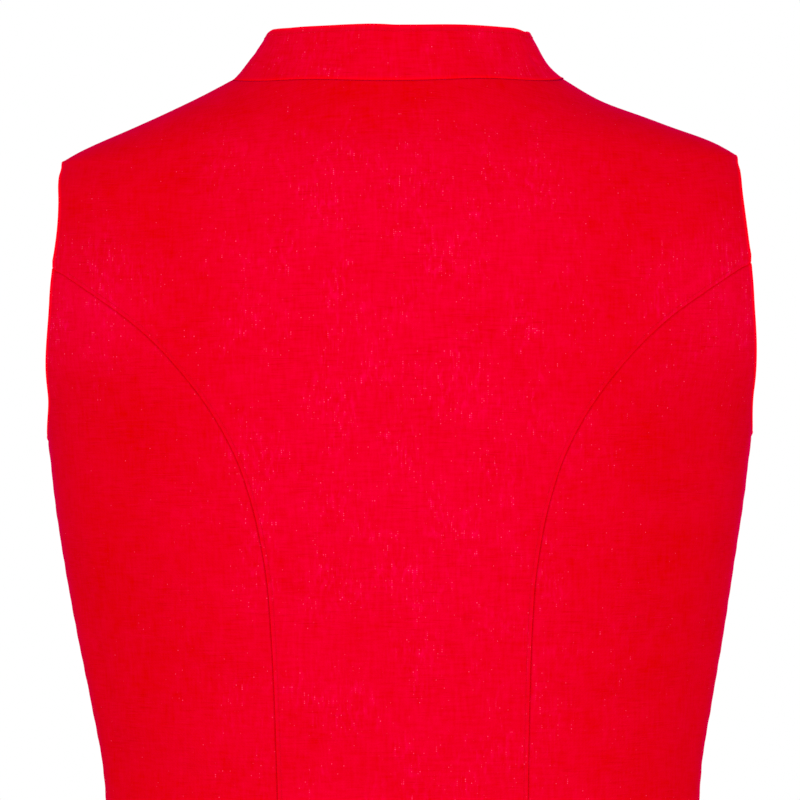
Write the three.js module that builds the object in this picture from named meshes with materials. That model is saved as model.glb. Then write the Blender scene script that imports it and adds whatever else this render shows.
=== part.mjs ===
// A sleeveless linen dirndl that keeps its worn form: a stand collar, a bodice with back and front
// princess seams that buttons down the front, and a gathered skirt sewn to it at the waist.
// Millimetres. The origin is the middle of the neck, level with the two neck points of the shoulder seams.
// +Z is up, -Y is the front and +X is the wearer's left.
import * as THREE from "three";

// ---- Driving dimensions ----
const SEAM_GAP = 0.3; // between two pieces along a seam
const BODICE_WALL = 1.6; // linen with its turned and fused edges
const COLLAR_WALL = 2.2; // two linens and an interlining
const SKIRT_WALL = 1.2;

const NECK = { backDip: 5, frontDrop: 66, levelTurn: 0.22 }; // how far the neckline lies below the neck points
const COLLAR = { rise: 27, backRise: 31.5, sideLean: 0.7, backLean: 0.2, frontLean: 0.12, endGap: 1.5, cornerRadius: 9 };
const SHOULDER_TIP_Z = -44;
const UNDERARM_Z = -195;
const WAIST_Z = -410;
const LAP = { past: 12, blend: 16, step: 1.35 }; // the fronts pass the centre by this much, one over the other
const BUTTON = { count: 8, radius: 7, height: 4.6, firstZ: -80, lastZ: -394, clear: 0.8 };
const SKIRT = { length: 700, folds: 36, stepsPerFold: 8, pleatDepth: 13, pleatWidth: 0.045 };

// Level sections of the bodice: half width, depth behind and before the side seams, and squareness
// (2 is an ellipse). Between the shoulder tip and the underarm the half width runs on over the armhole.
const SECTIONS = [
  { z: 0, half: 91.5, back: 59, front: 53, square: 2.0 },
  { z: -4, half: 98.5, back: 62, front: 54.5, square: 2.0 },
  { z: -11, half: 111, back: 66, front: 56, square: 2.0 },
  { z: -25, half: 145, back: 74, front: 59, square: 2.05 },
  { z: -38, half: 177, back: 81, front: 61.5, square: 2.1 },
  { z: -44, half: 185.5, back: 84, front: 63, square: 2.1 },
  { z: -66, half: 195.5, back: 94, front: 67, square: 2.15 },
  { z: -93, half: 201.5, back: 103, front: 77, square: 2.2 },
  { z: -121, half: 203.5, back: 109, front: 91, square: 2.25 },
  { z: -150, half: 202, back: 113, front: 107, square: 2.25 },
  { z: -176, half: 196.5, back: 114, front: 121, square: 2.25 },
  { z: -203, half: 192.5, back: 113, front: 132, square: 2.25 },
  { z: -231, half: 189.5, back: 110.5, front: 139, square: 2.25 },
  { z: -262, half: 185, back: 107, front: 141, square: 2.25 },
  { z: -300, half: 178.5, back: 102, front: 136, square: 2.2 },
  { z: -341, half: 171, back: 96, front: 126, square: 2.15 },
  { z: -380, half: 164.5, back: 91, front: 118, square: 2.1 },
  { z: -410, half: 162, back: 89, front: 115, square: 2.1 },
];

// The fullness that the front princess seams shape over each side of the chest.
const BUST = { angle: 2.58, z: -258, spreadAngle: 0.34, spreadZ: 62, swell: 9 };

// Armhole: how far its back and front edges stand behind and before the side seam.
const ARMHOLE = [
  { z: SHOULDER_TIP_Z, back: 0, front: 0 },
  { z: -52, back: 19, front: 16 },
  { z: -66, back: 33, front: 32 },
  { z: -93, back: 43, front: 50 },
  { z: -121, back: 45, front: 59 },
  { z: -150, back: 41, front: 58 },
  { z: -172, back: 31, front: 46 },
  { z: -188, back: 16, front: 25 },
  { z: UNDERARM_Z, back: 0, front: 0 },
];

// Princess seams: distance from the centre at each height. Each one ends on the armhole.
const BACK_SEAM = [
  { z: -102.4, out: 188.6 },
  { z: -120, out: 162.4 },
  { z: -133.5, out: 143.6 },
  { z: -148.5, out: 127.2 },
  { z: -176, out: 104.5 },
  { z: -196, out: 92.3 },
  { z: -214, out: 84.3 },
  { z: -247, out: 75.4 },
  { z: -281, out: 70.6 },
  { z: -335, out: 68.1 },
  { z: WAIST_Z, out: 66.5 },
];
const BACK_SEAM_TOP_Z = BACK_SEAM[0].z;
const FRONT_SEAM = [
  { z: -122, out: 165.3 },
  { z: -136, out: 150 },
  { z: -155, out: 127 },
  { z: -185, out: 106 },
  { z: -222, out: 94 },
  { z: -262, out: 88 },
  { z: -310, out: 79 },
  { z: -360, out: 71 },
  { z: WAIST_Z, out: 66 },
];
const FRONT_SEAM_TOP_Z = FRONT_SEAM[0].z;

// Level sections of the skirt below the waist seam: the same columns, and half the depth of a fold.
const SKIRT_LEVELS = [
  { drop: 0, half: 161.5, back: 88.5, front: 114.5, square: 2.1, fold: 2.2 },
  { drop: 26, half: 181, back: 107, front: 131, square: 2.1, fold: 4.6 },
  { drop: 70, half: 203, back: 133, front: 152, square: 2.1, fold: 7.2 },
  { drop: 150, half: 233, back: 170, front: 183, square: 2.05, fold: 9.2 },
  { drop: 270, half: 265, back: 208, front: 219, square: 2.0, fold: 10.6 },
  { drop: 410, half: 291, back: 241, front: 250, square: 2.0, fold: 11.8 },
  { drop: 560, half: 312, back: 268, front: 276, square: 2.0, fold: 12.8 },
  { drop: SKIRT.length, half: 328, back: 288, front: 296, square: 2.0, fold: 13.6 },
];

const ROWS = { seam: 12, armhole: 4, shoulder: 4 }; // steps along a seam, an armhole edge and a shoulder
const COLUMNS = { backCentre: 20, side: 6, frontCentre: 10 };

// ---- Interpolation ----
const mix = (a, b, t) => a + (b - a) * t;
const smooth = (t) => {
  const s = Math.min(1, Math.max(0, t));
  return s * s * (3 - 2 * s);
};

// Column `name` of a table at `at`, on a smooth curve that doesn't overshoot its rows.
function read(table, key, name, at) {
  const down = table[0][key] > table[table.length - 1][key] ? -1 : 1;
  const x = table.map((row) => row[key] * down);
  const y = table.map((row) => row[name]);
  const last = table.length - 1;
  const q = Math.min(x[last], Math.max(x[0], at * down));
  let k = 0;
  while (k < last - 1 && q > x[k + 1]) k++;
  const grade = (i) => (y[i + 1] - y[i]) / (x[i + 1] - x[i]);
  const tangent = (i) => {
    if (i === 0) return grade(0);
    if (i === last) return grade(last - 1);
    const before = grade(i - 1);
    const after = grade(i);
    return before * after <= 0 ? 0 : (2 * before * after) / (before + after);
  };
  const span = x[k + 1] - x[k];
  const t = (q - x[k]) / span;
  const t2 = t * t;
  const t3 = t2 * t;
  return (
    (2 * t3 - 3 * t2 + 1) * y[k] +
    (t3 - 2 * t2 + t) * span * tangent(k) +
    (3 * t2 - 2 * t3) * y[k + 1] +
    (t3 - t2) * span * tangent(k + 1)
  );
}

// ---- The worn surface ----
// A turn is the angle round the body in radians: 0 centre back, half pi the wearer's left side, pi centre front.
function radius(turn, half, back, front, square) {
  const depth = Math.cos(turn) >= 0 ? back : front;
  const across = Math.abs(Math.sin(turn)) / half;
  const along = Math.abs(Math.cos(turn)) / depth;
  return Math.pow(Math.pow(across, square) + Math.pow(along, square), -1 / square);
}

function bustSwell(turn, z) {
  const side = Math.min(turn, 2 * Math.PI - turn);
  const a = (side - BUST.angle) / BUST.spreadAngle;
  const b = (z - BUST.z) / BUST.spreadZ;
  return BUST.swell * Math.exp(-(a * a + b * b) / 2);
}

// Away from the sides the half width changes more gently from level to level, so that the corner at
// the shoulder tip doesn't run on as a crease across the back and chest.
function halfWidth(turn, z) {
  const at = (level) => read(SECTIONS, "z", "half", level);
  const sharp = at(z);
  const reach = 20;
  const soft = (at(z - reach) + 2 * sharp + at(Math.min(0, z + reach))) / 4;
  const share = smooth(Math.abs(Math.cos(turn)) / 0.5) * smooth((-z - 8) / 26);
  return mix(sharp, soft, share);
}

function bodyPoint(turn, z, off = 0) {
  const [back, front, square] = ["back", "front", "square"].map((name) => read(SECTIONS, "z", name, z));
  const r = radius(turn, halfWidth(turn, z), back, front, square) + bustSwell(Math.abs(turn), z);
  const p = new THREE.Vector3(r * Math.sin(turn), r * Math.cos(turn), z);
  return off ? p.addScaledVector(bodyNormal(turn, z), off) : p;
}

function bodyNormal(turn, z) {
  const e = 0.004;
  const step = 0.5;
  const zHigh = Math.min(z + step, 0);
  const round = bodyPoint(turn + e, z).sub(bodyPoint(turn - e, z));
  const up = bodyPoint(turn, zHigh).sub(bodyPoint(turn, zHigh - 2 * step));
  return up.cross(round).normalize();
}

// The turn between `from` and `to` at which `value(turn)` falls to `target`.
function solveTurn(value, target, from, to) {
  let a = from;
  let b = to;
  for (let i = 0; i < 50; i++) {
    const middle = (a + b) / 2;
    if (value(middle) > target) a = middle;
    else b = middle;
  }
  return (a + b) / 2;
}

const SIDE = Math.PI / 2;
const FRONT = Math.PI;
const turnAtDepth = (y, z) => solveTurn((turn) => bodyPoint(turn, z).y, y, 0, FRONT);
const backTurnAt = (x, z) => solveTurn((turn) => -bodyPoint(turn, z).x, -x, 0, SIDE);
const frontTurnAt = (x, z) => solveTurn((turn) => bodyPoint(turn, z).x, x, SIDE, FRONT);

function neckDrop(turn) {
  const t = Math.abs(turn);
  if (t <= SIDE) return -NECK.backDip * Math.pow(Math.cos(t), 2);
  const towardsFront = Math.min(1, (t - SIDE) / (SIDE - NECK.levelTurn));
  return -NECK.frontDrop * Math.pow(Math.sin(towardsFront * SIDE), 2);
}

// ---- Seam and edge lines on the left half, each a function of 0..1 that gives {turn, z} ----
const armholeLine = (edge, fromZ, toZ) => (t) => {
  const z = mix(fromZ, toZ, t);
  const y = read(ARMHOLE, "z", edge, z);
  return { turn: turnAtDepth(edge === "back" ? y : -y, z), z };
};
const backSeamEnd = armholeLine("back", BACK_SEAM_TOP_Z, BACK_SEAM_TOP_Z)(0);
const frontSeamEnd = armholeLine("front", FRONT_SEAM_TOP_Z, FRONT_SEAM_TOP_Z)(0);

// The last stretch of each seam is drawn in to the armhole's own edge.
const SEAM_JOIN = 4;
const backSeamLine = (t) => {
  const z = mix(WAIST_Z, BACK_SEAM_TOP_Z, t);
  const turn = backTurnAt(read(BACK_SEAM, "z", "out", z), z);
  return { turn: mix(turn, backSeamEnd.turn, smooth((z - BACK_SEAM_TOP_Z) / SEAM_JOIN + 1)), z };
};
const frontSeamLine = (t) => {
  const z = mix(WAIST_Z, FRONT_SEAM_TOP_Z, t);
  const turn = frontTurnAt(read(FRONT_SEAM, "z", "out", z), z);
  return { turn: mix(turn, frontSeamEnd.turn, smooth((z - FRONT_SEAM_TOP_Z) / SEAM_JOIN + 1)), z };
};
const sideSeamLine = (t) => ({ turn: SIDE, z: mix(WAIST_Z, UNDERARM_Z, t) });
const shoulderLine = (t) => ({ turn: SIDE, z: mix(SHOULDER_TIP_Z, 0, t) });
const neckLine = (from, to) => (t) => {
  const turn = mix(from, to, t);
  return { turn, z: neckDrop(turn) };
};
const waistLine = (from, to) => (t) => ({ turn: mix(from, to, t), z: WAIST_Z });
const lapLine = (t) => {
  const z = mix(WAIST_Z, -NECK.frontDrop, t);
  return { turn: FRONT + LAP.past / -bodyPoint(FRONT, z).y, z };
};

const place = ({ turn, z }) => bodyPoint(turn, z);

// `steps` + 1 places on a line, evenly spaced by real length.
function spaced(line, steps) {
  const fine = 160;
  const lengths = [0];
  for (let i = 1; i <= fine; i++) {
    const apart = place(line(i / fine)).distanceTo(place(line((i - 1) / fine)));
    lengths.push(lengths[i - 1] + apart);
  }
  const made = [];
  let k = 0;
  for (let i = 0; i <= steps; i++) {
    const wanted = (lengths[fine] * i) / steps;
    while (k < fine - 1 && lengths[k + 1] < wanted) k++;
    const part = (wanted - lengths[k]) / (lengths[k + 1] - lengths[k]);
    made.push(line(Math.min(1, (k + part) / fine)));
  }
  return made;
}

const flip = (places) => places.map(({ turn, z }) => ({ turn: -turn, z }));
const chain = (...lists) => lists.reduce((all, next) => all.concat(next.slice(1)));

// Rows of places between four edges that share their corners (a Coons patch in turn and z).
function patch(left, right, bottom, top) {
  const rows = left.length - 1;
  const columns = bottom.length - 1;
  const blend = (name, i, j) => {
    const v = i / rows;
    const u = j / columns;
    const corners =
      (1 - u) * ((1 - v) * left[0][name] + v * left[rows][name]) +
      u * ((1 - v) * right[0][name] + v * right[rows][name]);
    return (
      mix(left[i][name], right[i][name], u) + mix(bottom[j][name], top[j][name], v) - corners
    );
  };
  return left.map((_, i) =>
    bottom.map((_, j) => ({ turn: blend("turn", i, j), z: blend("z", i, j) })),
  );
}

// Spaces the places of each row by real length. `keep(v)` is the share of the old spacing that stays.
function evenRows(rows, keep) {
  return rows.map((row, i) => {
    const line = (t) => {
      const at = Math.min(row.length - 1.000001, t * (row.length - 1));
      const k = Math.floor(at);
      return { turn: mix(row[k].turn, row[k + 1].turn, at - k), z: mix(row[k].z, row[k + 1].z, at - k) };
    };
    const kept = keep(i / (rows.length - 1));
    return spaced(line, row.length - 1).map(({ turn, z }, j) => ({
      turn: mix(turn, row[j].turn, kept),
      z: mix(z, row[j].z, kept),
    }));
  });
}
const towardsNeck = (v) => smooth((v - 0.82) / 0.18);

// ---- Cloth walls ----
// A closed wall from a grid of outer points and the matching grid of inner points.
function wall(outer, inner) {
  const rows = outer.length;
  const columns = outer[0].length;
  const points = [...outer.flat(), ...inner.flat()];
  const out = (i, j) => i * columns + j;
  const within = (i, j) => rows * columns + out(i, j);
  const index = [];
  const quad = (a, b, c, d) => index.push(a, b, c, a, c, d);
  for (let i = 0; i < rows - 1; i++) {
    for (let j = 0; j < columns - 1; j++) {
      quad(out(i, j), out(i, j + 1), out(i + 1, j + 1), out(i + 1, j));
      quad(within(i, j), within(i + 1, j), within(i + 1, j + 1), within(i, j + 1));
    }
    quad(out(i, 0), out(i + 1, 0), within(i + 1, 0), within(i, 0));
    const j = columns - 1;
    quad(out(i, j), within(i, j), within(i + 1, j), out(i + 1, j));
  }
  for (let j = 0; j < columns - 1; j++) {
    quad(out(0, j), within(0, j), within(0, j + 1), out(0, j + 1));
    const i = rows - 1;
    quad(out(i, j), out(i, j + 1), within(i, j + 1), within(i, j));
  }
  let volume = 0;
  for (let k = 0; k < index.length; k += 3) {
    const [a, b, c] = [points[index[k]], points[index[k + 1]], points[index[k + 2]]];
    volume += a.dot(new THREE.Vector3().crossVectors(b, c));
  }
  const geometry = new THREE.BufferGeometry().setFromPoints(points);
  geometry.setIndex(volume < 0 ? index.reverse() : index);
  geometry.computeVertexNormals();
  return geometry;
}

// Draws the grid's edges in along the cloth, so that neighbours stand SEAM_GAP apart.
function drawIn(grid, edges) {
  const rows = grid.length;
  const columns = grid[0].length;
  const moved = grid.map((row) => row.map((p) => p.clone()));
  const pull = (i, j, toI, toJ, alongI, alongJ) => {
    const across = grid[toI][toJ].clone().sub(grid[i][j]);
    const back = grid[Math.max(0, i - alongI)][Math.max(0, j - alongJ)];
    const ahead = grid[Math.min(rows - 1, i + alongI)][Math.min(columns - 1, j + alongJ)];
    const along = ahead.clone().sub(back).normalize();
    const square = across.clone().addScaledVector(along, -across.dot(along)).normalize();
    moved[i][j].addScaledVector(square, SEAM_GAP / 2 + 0.02);
  };
  for (let i = 0; i < rows; i++) {
    if (edges.left?.(i)) pull(i, 0, i, 1, 1, 0);
    if (edges.right?.(i)) pull(i, columns - 1, i, columns - 2, 1, 0);
  }
  return moved;
}

// A bodice panel from its places. `off(turn, z)` lifts the cloth off the worn surface.
function panel(places, edges, off = () => 0) {
  const level = (normal, z) => (z < WAIST_Z + 1 ? normal.setZ(0).normalize() : normal);
  const outer = places.map((row) => row.map(({ turn, z }) => bodyPoint(turn, z, off(turn, z))));
  const normals = places.map((row) => row.map(({ turn, z }) => level(bodyNormal(turn, z), z)));
  const drawn = drawIn(outer, edges);
  const inner = drawn.map((row, i) =>
    row.map((p, j) => p.clone().addScaledVector(normals[i][j], -BODICE_WALL)),
  );
  return wall(drawn, inner);
}

const always = () => true;
const upTo = (row) => (i) => i <= row;

// ---- The bodice ----
const backSeam = spaced(backSeamLine, ROWS.seam);
const frontSeam = spaced(frontSeamLine, ROWS.seam);
const sideSeam = spaced(sideSeamLine, ROWS.seam);
const shoulder = spaced(shoulderLine, ROWS.shoulder);
const backArmholeTop = spaced(armholeLine("back", BACK_SEAM_TOP_Z, SHOULDER_TIP_Z), ROWS.armhole);
const frontArmholeTop = spaced(armholeLine("front", FRONT_SEAM_TOP_Z, SHOULDER_TIP_Z), ROWS.armhole);

const neckBack = spaced(neckLine(-SIDE, SIDE), COLUMNS.backCentre);
const neckFront = spaced(neckLine(SIDE, lapLine(1).turn), COLUMNS.frontCentre);

function backCentre() {
  const left = chain(backSeam, backArmholeTop, shoulder);
  const waist = spaced(waistLine(-backSeam[0].turn, backSeam[0].turn), COLUMNS.backCentre);
  const joined = (i) => i <= ROWS.seam || i >= ROWS.seam + ROWS.armhole;
  return panel(evenRows(patch(flip(left), left, waist, neckBack), towardsNeck), { left: joined, right: joined });
}

function backSide() {
  const armhole = spaced(armholeLine("back", BACK_SEAM_TOP_Z, UNDERARM_Z), COLUMNS.side);
  const waist = spaced(waistLine(backSeam[0].turn, SIDE), COLUMNS.side);
  return panel(patch(backSeam, sideSeam, waist, armhole), { left: always, right: always });
}

function frontSide() {
  const armhole = spaced(armholeLine("front", UNDERARM_Z, FRONT_SEAM_TOP_Z), COLUMNS.side);
  const waist = spaced(waistLine(SIDE, frontSeam[0].turn), COLUMNS.side);
  return panel(patch(sideSeam, frontSeam, waist, armhole), { left: always, right: always });
}

// `over` is 1 for the front that lies on top at the centre and -1 for the one beneath.
function frontCentre(over) {
  const outerEdge = chain(frontSeam, frontArmholeTop, shoulder);
  const lapEdge = outerEdge.map((_, i) => lapLine(lapShare(i, outerEdge.length - 1)));
  const waist = spaced(waistLine(frontSeam[0].turn, lapEdge[0].turn), COLUMNS.frontCentre);
  const off = (turn, z) => {
    const toCentre = (FRONT - turn) * -bodyPoint(FRONT, z).y;
    return over * LAP.step * smooth(1 - (toCentre - LAP.past) / LAP.blend);
  };
  const joined = (i) => i <= ROWS.seam || i >= ROWS.seam + ROWS.armhole;
  return panel(evenRows(patch(outerEdge, lapEdge, waist, neckFront), towardsNeck), { left: joined }, off);
}

// The front edge has the same rows as the panel's other side, closer together towards the neck.
function lapShare(i, rows) {
  const t = i / rows;
  return t * (1.35 - 0.35 * t);
}

// ---- The collar ----
const neckFrontDepth = -bodyPoint(FRONT, -NECK.frontDrop).y;
const collarEnd = FRONT - COLLAR.endGap / neckFrontDepth;

// A point of the band: `share` runs from the seam to the top edge, square to the seam.
function collarPoint(turn, share, off) {
  const foot = bodyPoint(turn, neckDrop(turn));
  const e = 0.02;
  const along = bodyPoint(turn + e, neckDrop(turn + e)).sub(bodyPoint(turn - e, neckDrop(turn - e))).normalize();
  const outward = new THREE.Vector3(along.y, -along.x, 0).normalize();
  if (outward.dot(foot.clone().setZ(0)) < 0) outward.negate();
  const sideways = Math.pow(Math.abs(Math.sin(turn)), 2);
  const lean = mix(foot.y > 0 ? COLLAR.backLean : COLLAR.frontLean, COLLAR.sideLean, sideways);
  const up = new THREE.Vector3(0, 0, 1).addScaledVector(along, -along.z).normalize();
  const toEnd = (collarEnd - Math.abs(turn)) * neckFrontDepth;
  const short = Math.max(0, COLLAR.cornerRadius - toEnd);
  const round = COLLAR.cornerRadius - Math.sqrt(Math.max(0, COLLAR.cornerRadius ** 2 - short ** 2));
  const height = mix(COLLAR.rise, COLLAR.backRise, foot.y > 0 ? 1 - sideways : 0);
  const rise = (height - round) * share;
  const bend = COLLAR.rise * lean * Math.pow(share, 0.75);
  return foot
    .addScaledVector(up, rise)
    .addScaledVector(outward, off - bend)
    .add(new THREE.Vector3(0, 0, SEAM_GAP + 0.1));
}

function collar() {
  const shares = [0, 0.3, 0.65, 1];
  const corner = [0, 1.2, 3, 5.5, 9].map((mm) => collarEnd - mm / neckFrontDepth);
  const columns = [...neckBack.slice(COLUMNS.backCentre / 2), ...neckFront.slice(1)];
  const half = columns.map(({ turn }) => turn).filter((turn) => turn < corner[4] - 0.05);
  const left = [...half, ...corner.reverse()];
  const turns = [...left.slice(1).map((turn) => -turn).reverse(), ...left];
  const layer = (off) => shares.map((share) => turns.map((turn) => collarPoint(turn, share, off)));
  return wall(layer(0), layer(-COLLAR_WALL));
}

// ---- The skirt ----
// Where fold k begins, in turns of the skirt from centre front. Seams fall on exact quarters.
const FOLDS_PER_QUARTER = SKIRT.folds / 4;
function foldStart(k) {
  const uneven = k % FOLDS_PER_QUARTER === 0 ? 0 : 0.2 * Math.sin(2.3 * k + 0.5);
  return ((k + uneven) / SKIRT.folds) * 2 * Math.PI;
}

// How deep fold k is at a share of the skirt's length: some grow towards the hem and some fade.
const foldDepth = (k, share) => 1 + 0.28 * Math.sin(1.7 * k + 2) + 0.3 * share * Math.sin(2.9 * k + 1);

function skirtRing(level, fromFold, toFold, inset) {
  const ring = [];
  const total = (toFold - fromFold) * SKIRT.stepsPerFold;
  const share = level.drop / SKIRT.length;
  for (let i = 0; i <= total; i++) {
    const k = Math.min(toFold - 1, fromFold + Math.floor(i / SKIRT.stepsPerFold));
    const part = i / SKIRT.stepsPerFold - (k - fromFold);
    let fromFront = mix(foldStart(k), foldStart(k + 1), part);
    const crest = Math.pow(Math.sin(Math.PI * part), 2);
    const wave = level.fold * (2 * foldDepth(k, share) * crest - 1);
    const toCentre = Math.min(fromFront, 2 * Math.PI - fromFront);
    const pleat = SKIRT.pleatDepth * smooth(level.drop / 40) * Math.exp(-((toCentre / SKIRT.pleatWidth) ** 2));
    const turn = FRONT + fromFront;
    const r = radius(turn, level.half, level.back, level.front, level.square) + wave - pleat;
    if (i === 0) fromFront += inset / r;
    if (i === total) fromFront -= inset / r;
    ring.push({ turn: FRONT + fromFront, r });
  }
  return ring;
}

function skirtPanel(fromFold, toFold) {
  const inset = SEAM_GAP / 2 + 0.05;
  const rings = SKIRT_LEVELS.map((level) => skirtRing(level, fromFold, toFold, inset));
  const point = ({ turn, r }, z) => new THREE.Vector3(r * Math.sin(turn), r * Math.cos(turn), z);
  const outer = SKIRT_LEVELS.map((level, i) =>
    rings[i].map((at) => point(at, WAIST_Z - SEAM_GAP - level.drop)),
  );
  const inner = outer.map((ring) =>
    ring.map((p, j) => {
      const along = ring[Math.min(j + 1, ring.length - 1)].clone().sub(ring[Math.max(j - 1, 0)]);
      const outward = new THREE.Vector3(-along.y, along.x, 0).normalize();
      if (outward.dot(new THREE.Vector3(p.x, p.y, 0)) < 0) outward.negate();
      return p.clone().addScaledVector(outward, -SKIRT_WALL);
    }),
  );
  return wall(outer, inner);
}

// ---- Buttons: cloth-covered domes on the centre front ----
function buttonGeometry() {
  const { radius: r, height: h } = BUTTON;
  const profile = [
    [0, 0],
    [r * 0.86, 0],
    [r, h * 0.28],
    [r * 0.94, h * 0.58],
    [r * 0.62, h * 0.88],
    [0, h],
  ].map(([x, y]) => new THREE.Vector2(x, y));
  const dome = new THREE.LatheGeometry(profile, 16);
  return dome.rotateX(SIDE);
}

function placeButton(mesh, z) {
  const normal = bodyNormal(FRONT, z);
  const seat = bodyPoint(FRONT, z, LAP.step + BUTTON.clear);
  mesh.quaternion.setFromUnitVectors(new THREE.Vector3(0, 0, 1), normal);
  mesh.position.copy(seat);
}

// ---- Assembly ----
const linen = new THREE.MeshStandardMaterial({ color: 0xe60222, roughness: 0.85, metalness: 0 });
const coveredButton = new THREE.MeshStandardMaterial({ color: 0xd4021e, roughness: 0.8, metalness: 0 });

const dirndl = new THREE.Group();

function add(name, geometry, material = linen, mirrored = false) {
  const mesh = new THREE.Mesh(geometry, material);
  mesh.name = name;
  if (mirrored) mesh.scale.x = -1;
  dirndl.add(mesh);
  return mesh;
}

add("collar", collar());
add("back_centre", backCentre());
add("back_side_left", backSide());
add("back_side_right", backSide(), linen, true);
add("front_side_left", frontSide());
add("front_side_right", frontSide(), linen, true);
add("front_centre_left", frontCentre(-1));
add("front_centre_right", frontCentre(1), linen, true);

add("skirt_front_right", skirtPanel(0, FOLDS_PER_QUARTER));
add("skirt_back", skirtPanel(FOLDS_PER_QUARTER, 3 * FOLDS_PER_QUARTER));
add("skirt_front_left", skirtPanel(3 * FOLDS_PER_QUARTER, 4 * FOLDS_PER_QUARTER));

for (let i = 0; i < BUTTON.count; i++) {
  const mesh = add(`button_${i + 1}`, buttonGeometry(), coveredButton);
  placeButton(mesh, mix(BUTTON.firstZ, BUTTON.lastZ, i / (BUTTON.count - 1)));
}

export default dirndl;
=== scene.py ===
"""A sleeveless red linen dirndl that keeps its worn form: stand collar, princess-seamed bodice that
buttons down the front, and a gathered skirt. Cloth shapes are worked out in millimetres."""

import math

import bpy
import numpy as np
from mathutils import Matrix, Vector


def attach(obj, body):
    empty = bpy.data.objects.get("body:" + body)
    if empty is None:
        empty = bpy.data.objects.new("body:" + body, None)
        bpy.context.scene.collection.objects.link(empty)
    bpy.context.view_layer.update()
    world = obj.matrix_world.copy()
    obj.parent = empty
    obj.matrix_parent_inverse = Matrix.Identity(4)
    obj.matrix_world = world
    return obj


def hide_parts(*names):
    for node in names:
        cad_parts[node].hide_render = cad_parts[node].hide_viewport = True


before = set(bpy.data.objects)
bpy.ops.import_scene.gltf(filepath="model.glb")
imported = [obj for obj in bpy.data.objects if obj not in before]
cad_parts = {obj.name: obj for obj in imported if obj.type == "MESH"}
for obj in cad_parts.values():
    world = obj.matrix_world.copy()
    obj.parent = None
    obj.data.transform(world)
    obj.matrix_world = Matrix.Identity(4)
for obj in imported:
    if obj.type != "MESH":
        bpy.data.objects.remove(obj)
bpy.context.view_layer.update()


def table(names, *rows):
    """Rows of numbers under these column names."""
    return [dict(zip(names.split(), row)) for row in rows]


# ---------------------------------------------------------------- sizes, in millimetres

LINEN = 1.0  # thickness of a cloth wall
COLLAR_CLOTH = 1.9
HALF_GAP = 0.08  # half the gap left along a sewn seam
SEAM_RIDGE = 0.3  # the allowance under a topstitched edge lifts it by this much
TUCK = 1.15  # how deep an edge lies under its neighbour
SEAM_ROUND = 0.25  # how far a sewn edge bulges
OVER_ROUND = 0.28  # and one that lies on top
WAIST_Z = -410.0
SHOULDER_TIP_Z = -44.0
UNDERARM_Z = -195.0
NECK_BACK_DIP = 3.9
NECK_FRONT_DROP = 66.0
NECK_LEVEL_TURN = 0.22
COLLAR = dict(rise=27.0, back_rise=31.5, end_gap=1.5, corner=9.0)
COLLAR_LEAN = dict(side=0.7, back=0.2, front=0.12)
# The collar's top edge round the back half, from the right side to the left.
COLLAR_TOP = table(
    "side up",
    (-1.0, -1.5), (-0.96, -0.4), (-0.92, 0.8), (-0.88, 1.2), (-0.8, 0.6), (-0.7, 0.0),
    (-0.45, -0.6), (-0.16, -1.1), (0.0, -1.15), (0.15, -0.6), (0.3, -0.25), (0.6, -0.15),
    (0.82, 0.9), (0.92, 1.55), (0.96, 1.3), (0.985, 0.3), (1.0, -1.0),
)
LAP = dict(past=12.0, blend=16.0, step=1.35)
BUTTON = dict(count=8, radius=7.0, height=4.6, first_z=-80.0, last_z=-394.0, clear=0.8)
SKIRT = dict(length=700.0, folds=36, pleat_depth=13.0, pleat_width=0.045)
HEM = dict(stitched_up=33.0, turned_up=36.0, ridge=0.35)
BUTTONHOLE = dict(near=5.5, far=15.0, lip=1.1, stitches=20, stitch_half=0.85, thread=0.21)
ALLOWANCE = dict(half_wide=6.0, thick=0.8, under=0.15)
ROLL = dict(high=0.3, wide=1.4, groove=0.22, groove_at=3.0)  # the turned edge of an armhole
PUCKER = dict(high=0.13, fades=7.0, waves=(11.3, 17.9))
FLOOR_Z = -1460.0
FAN_ROWS = 10  # rows of a front that fan out below the shoulder tip
# Lines of points in each panel: in its patch, then across and up its cloth.
MESH_LINES = dict(
    back_centre=(128, 118, 132),
    back_side=(44, 38, 176),
    front_side=(44, 38, 110),
    front_centre=(70, 62, 132),
)

# Level sections of the bodice: half width, depth behind and before the side seams, squareness.
SECTIONS = table(
    "z half back front square",
    (0, 91.5, 59, 53, 2.0), (-4, 98.5, 62, 54.5, 2.0), (-11, 111.5, 66, 56, 2.0),
    (-25, 144, 74, 59, 2.05), (-38, 174, 81, 61.5, 2.1), (-42.5, 182.2, 83.2, 62.6, 2.1),
    (-44, 184.6, 84, 63, 2.1), (-48, 186.4, 86, 63.8, 2.1), (-53, 189.6, 88.2, 64.7, 2.12),
    (-66, 195.5, 94, 67, 2.15), (-93, 201.1, 103, 77, 2.2), (-121, 202.7, 109, 91, 2.25),
    (-150, 201.5, 113, 107, 2.25), (-176, 196.5, 114, 121, 2.25), (-203, 192.5, 113, 132, 2.25),
    (-231, 189.5, 110.5, 139, 2.25), (-262, 185, 107, 141, 2.25), (-300, 178.5, 102, 136, 2.2),
    (-341, 170.6, 96, 126, 2.15), (-380, 164, 91, 118, 2.1), (-410, 162, 89, 115, 2.1),
)
BUST = dict(angle=2.58, z=-258.0, spread_angle=0.34, spread_z=62.0, swell=9.0)

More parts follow.
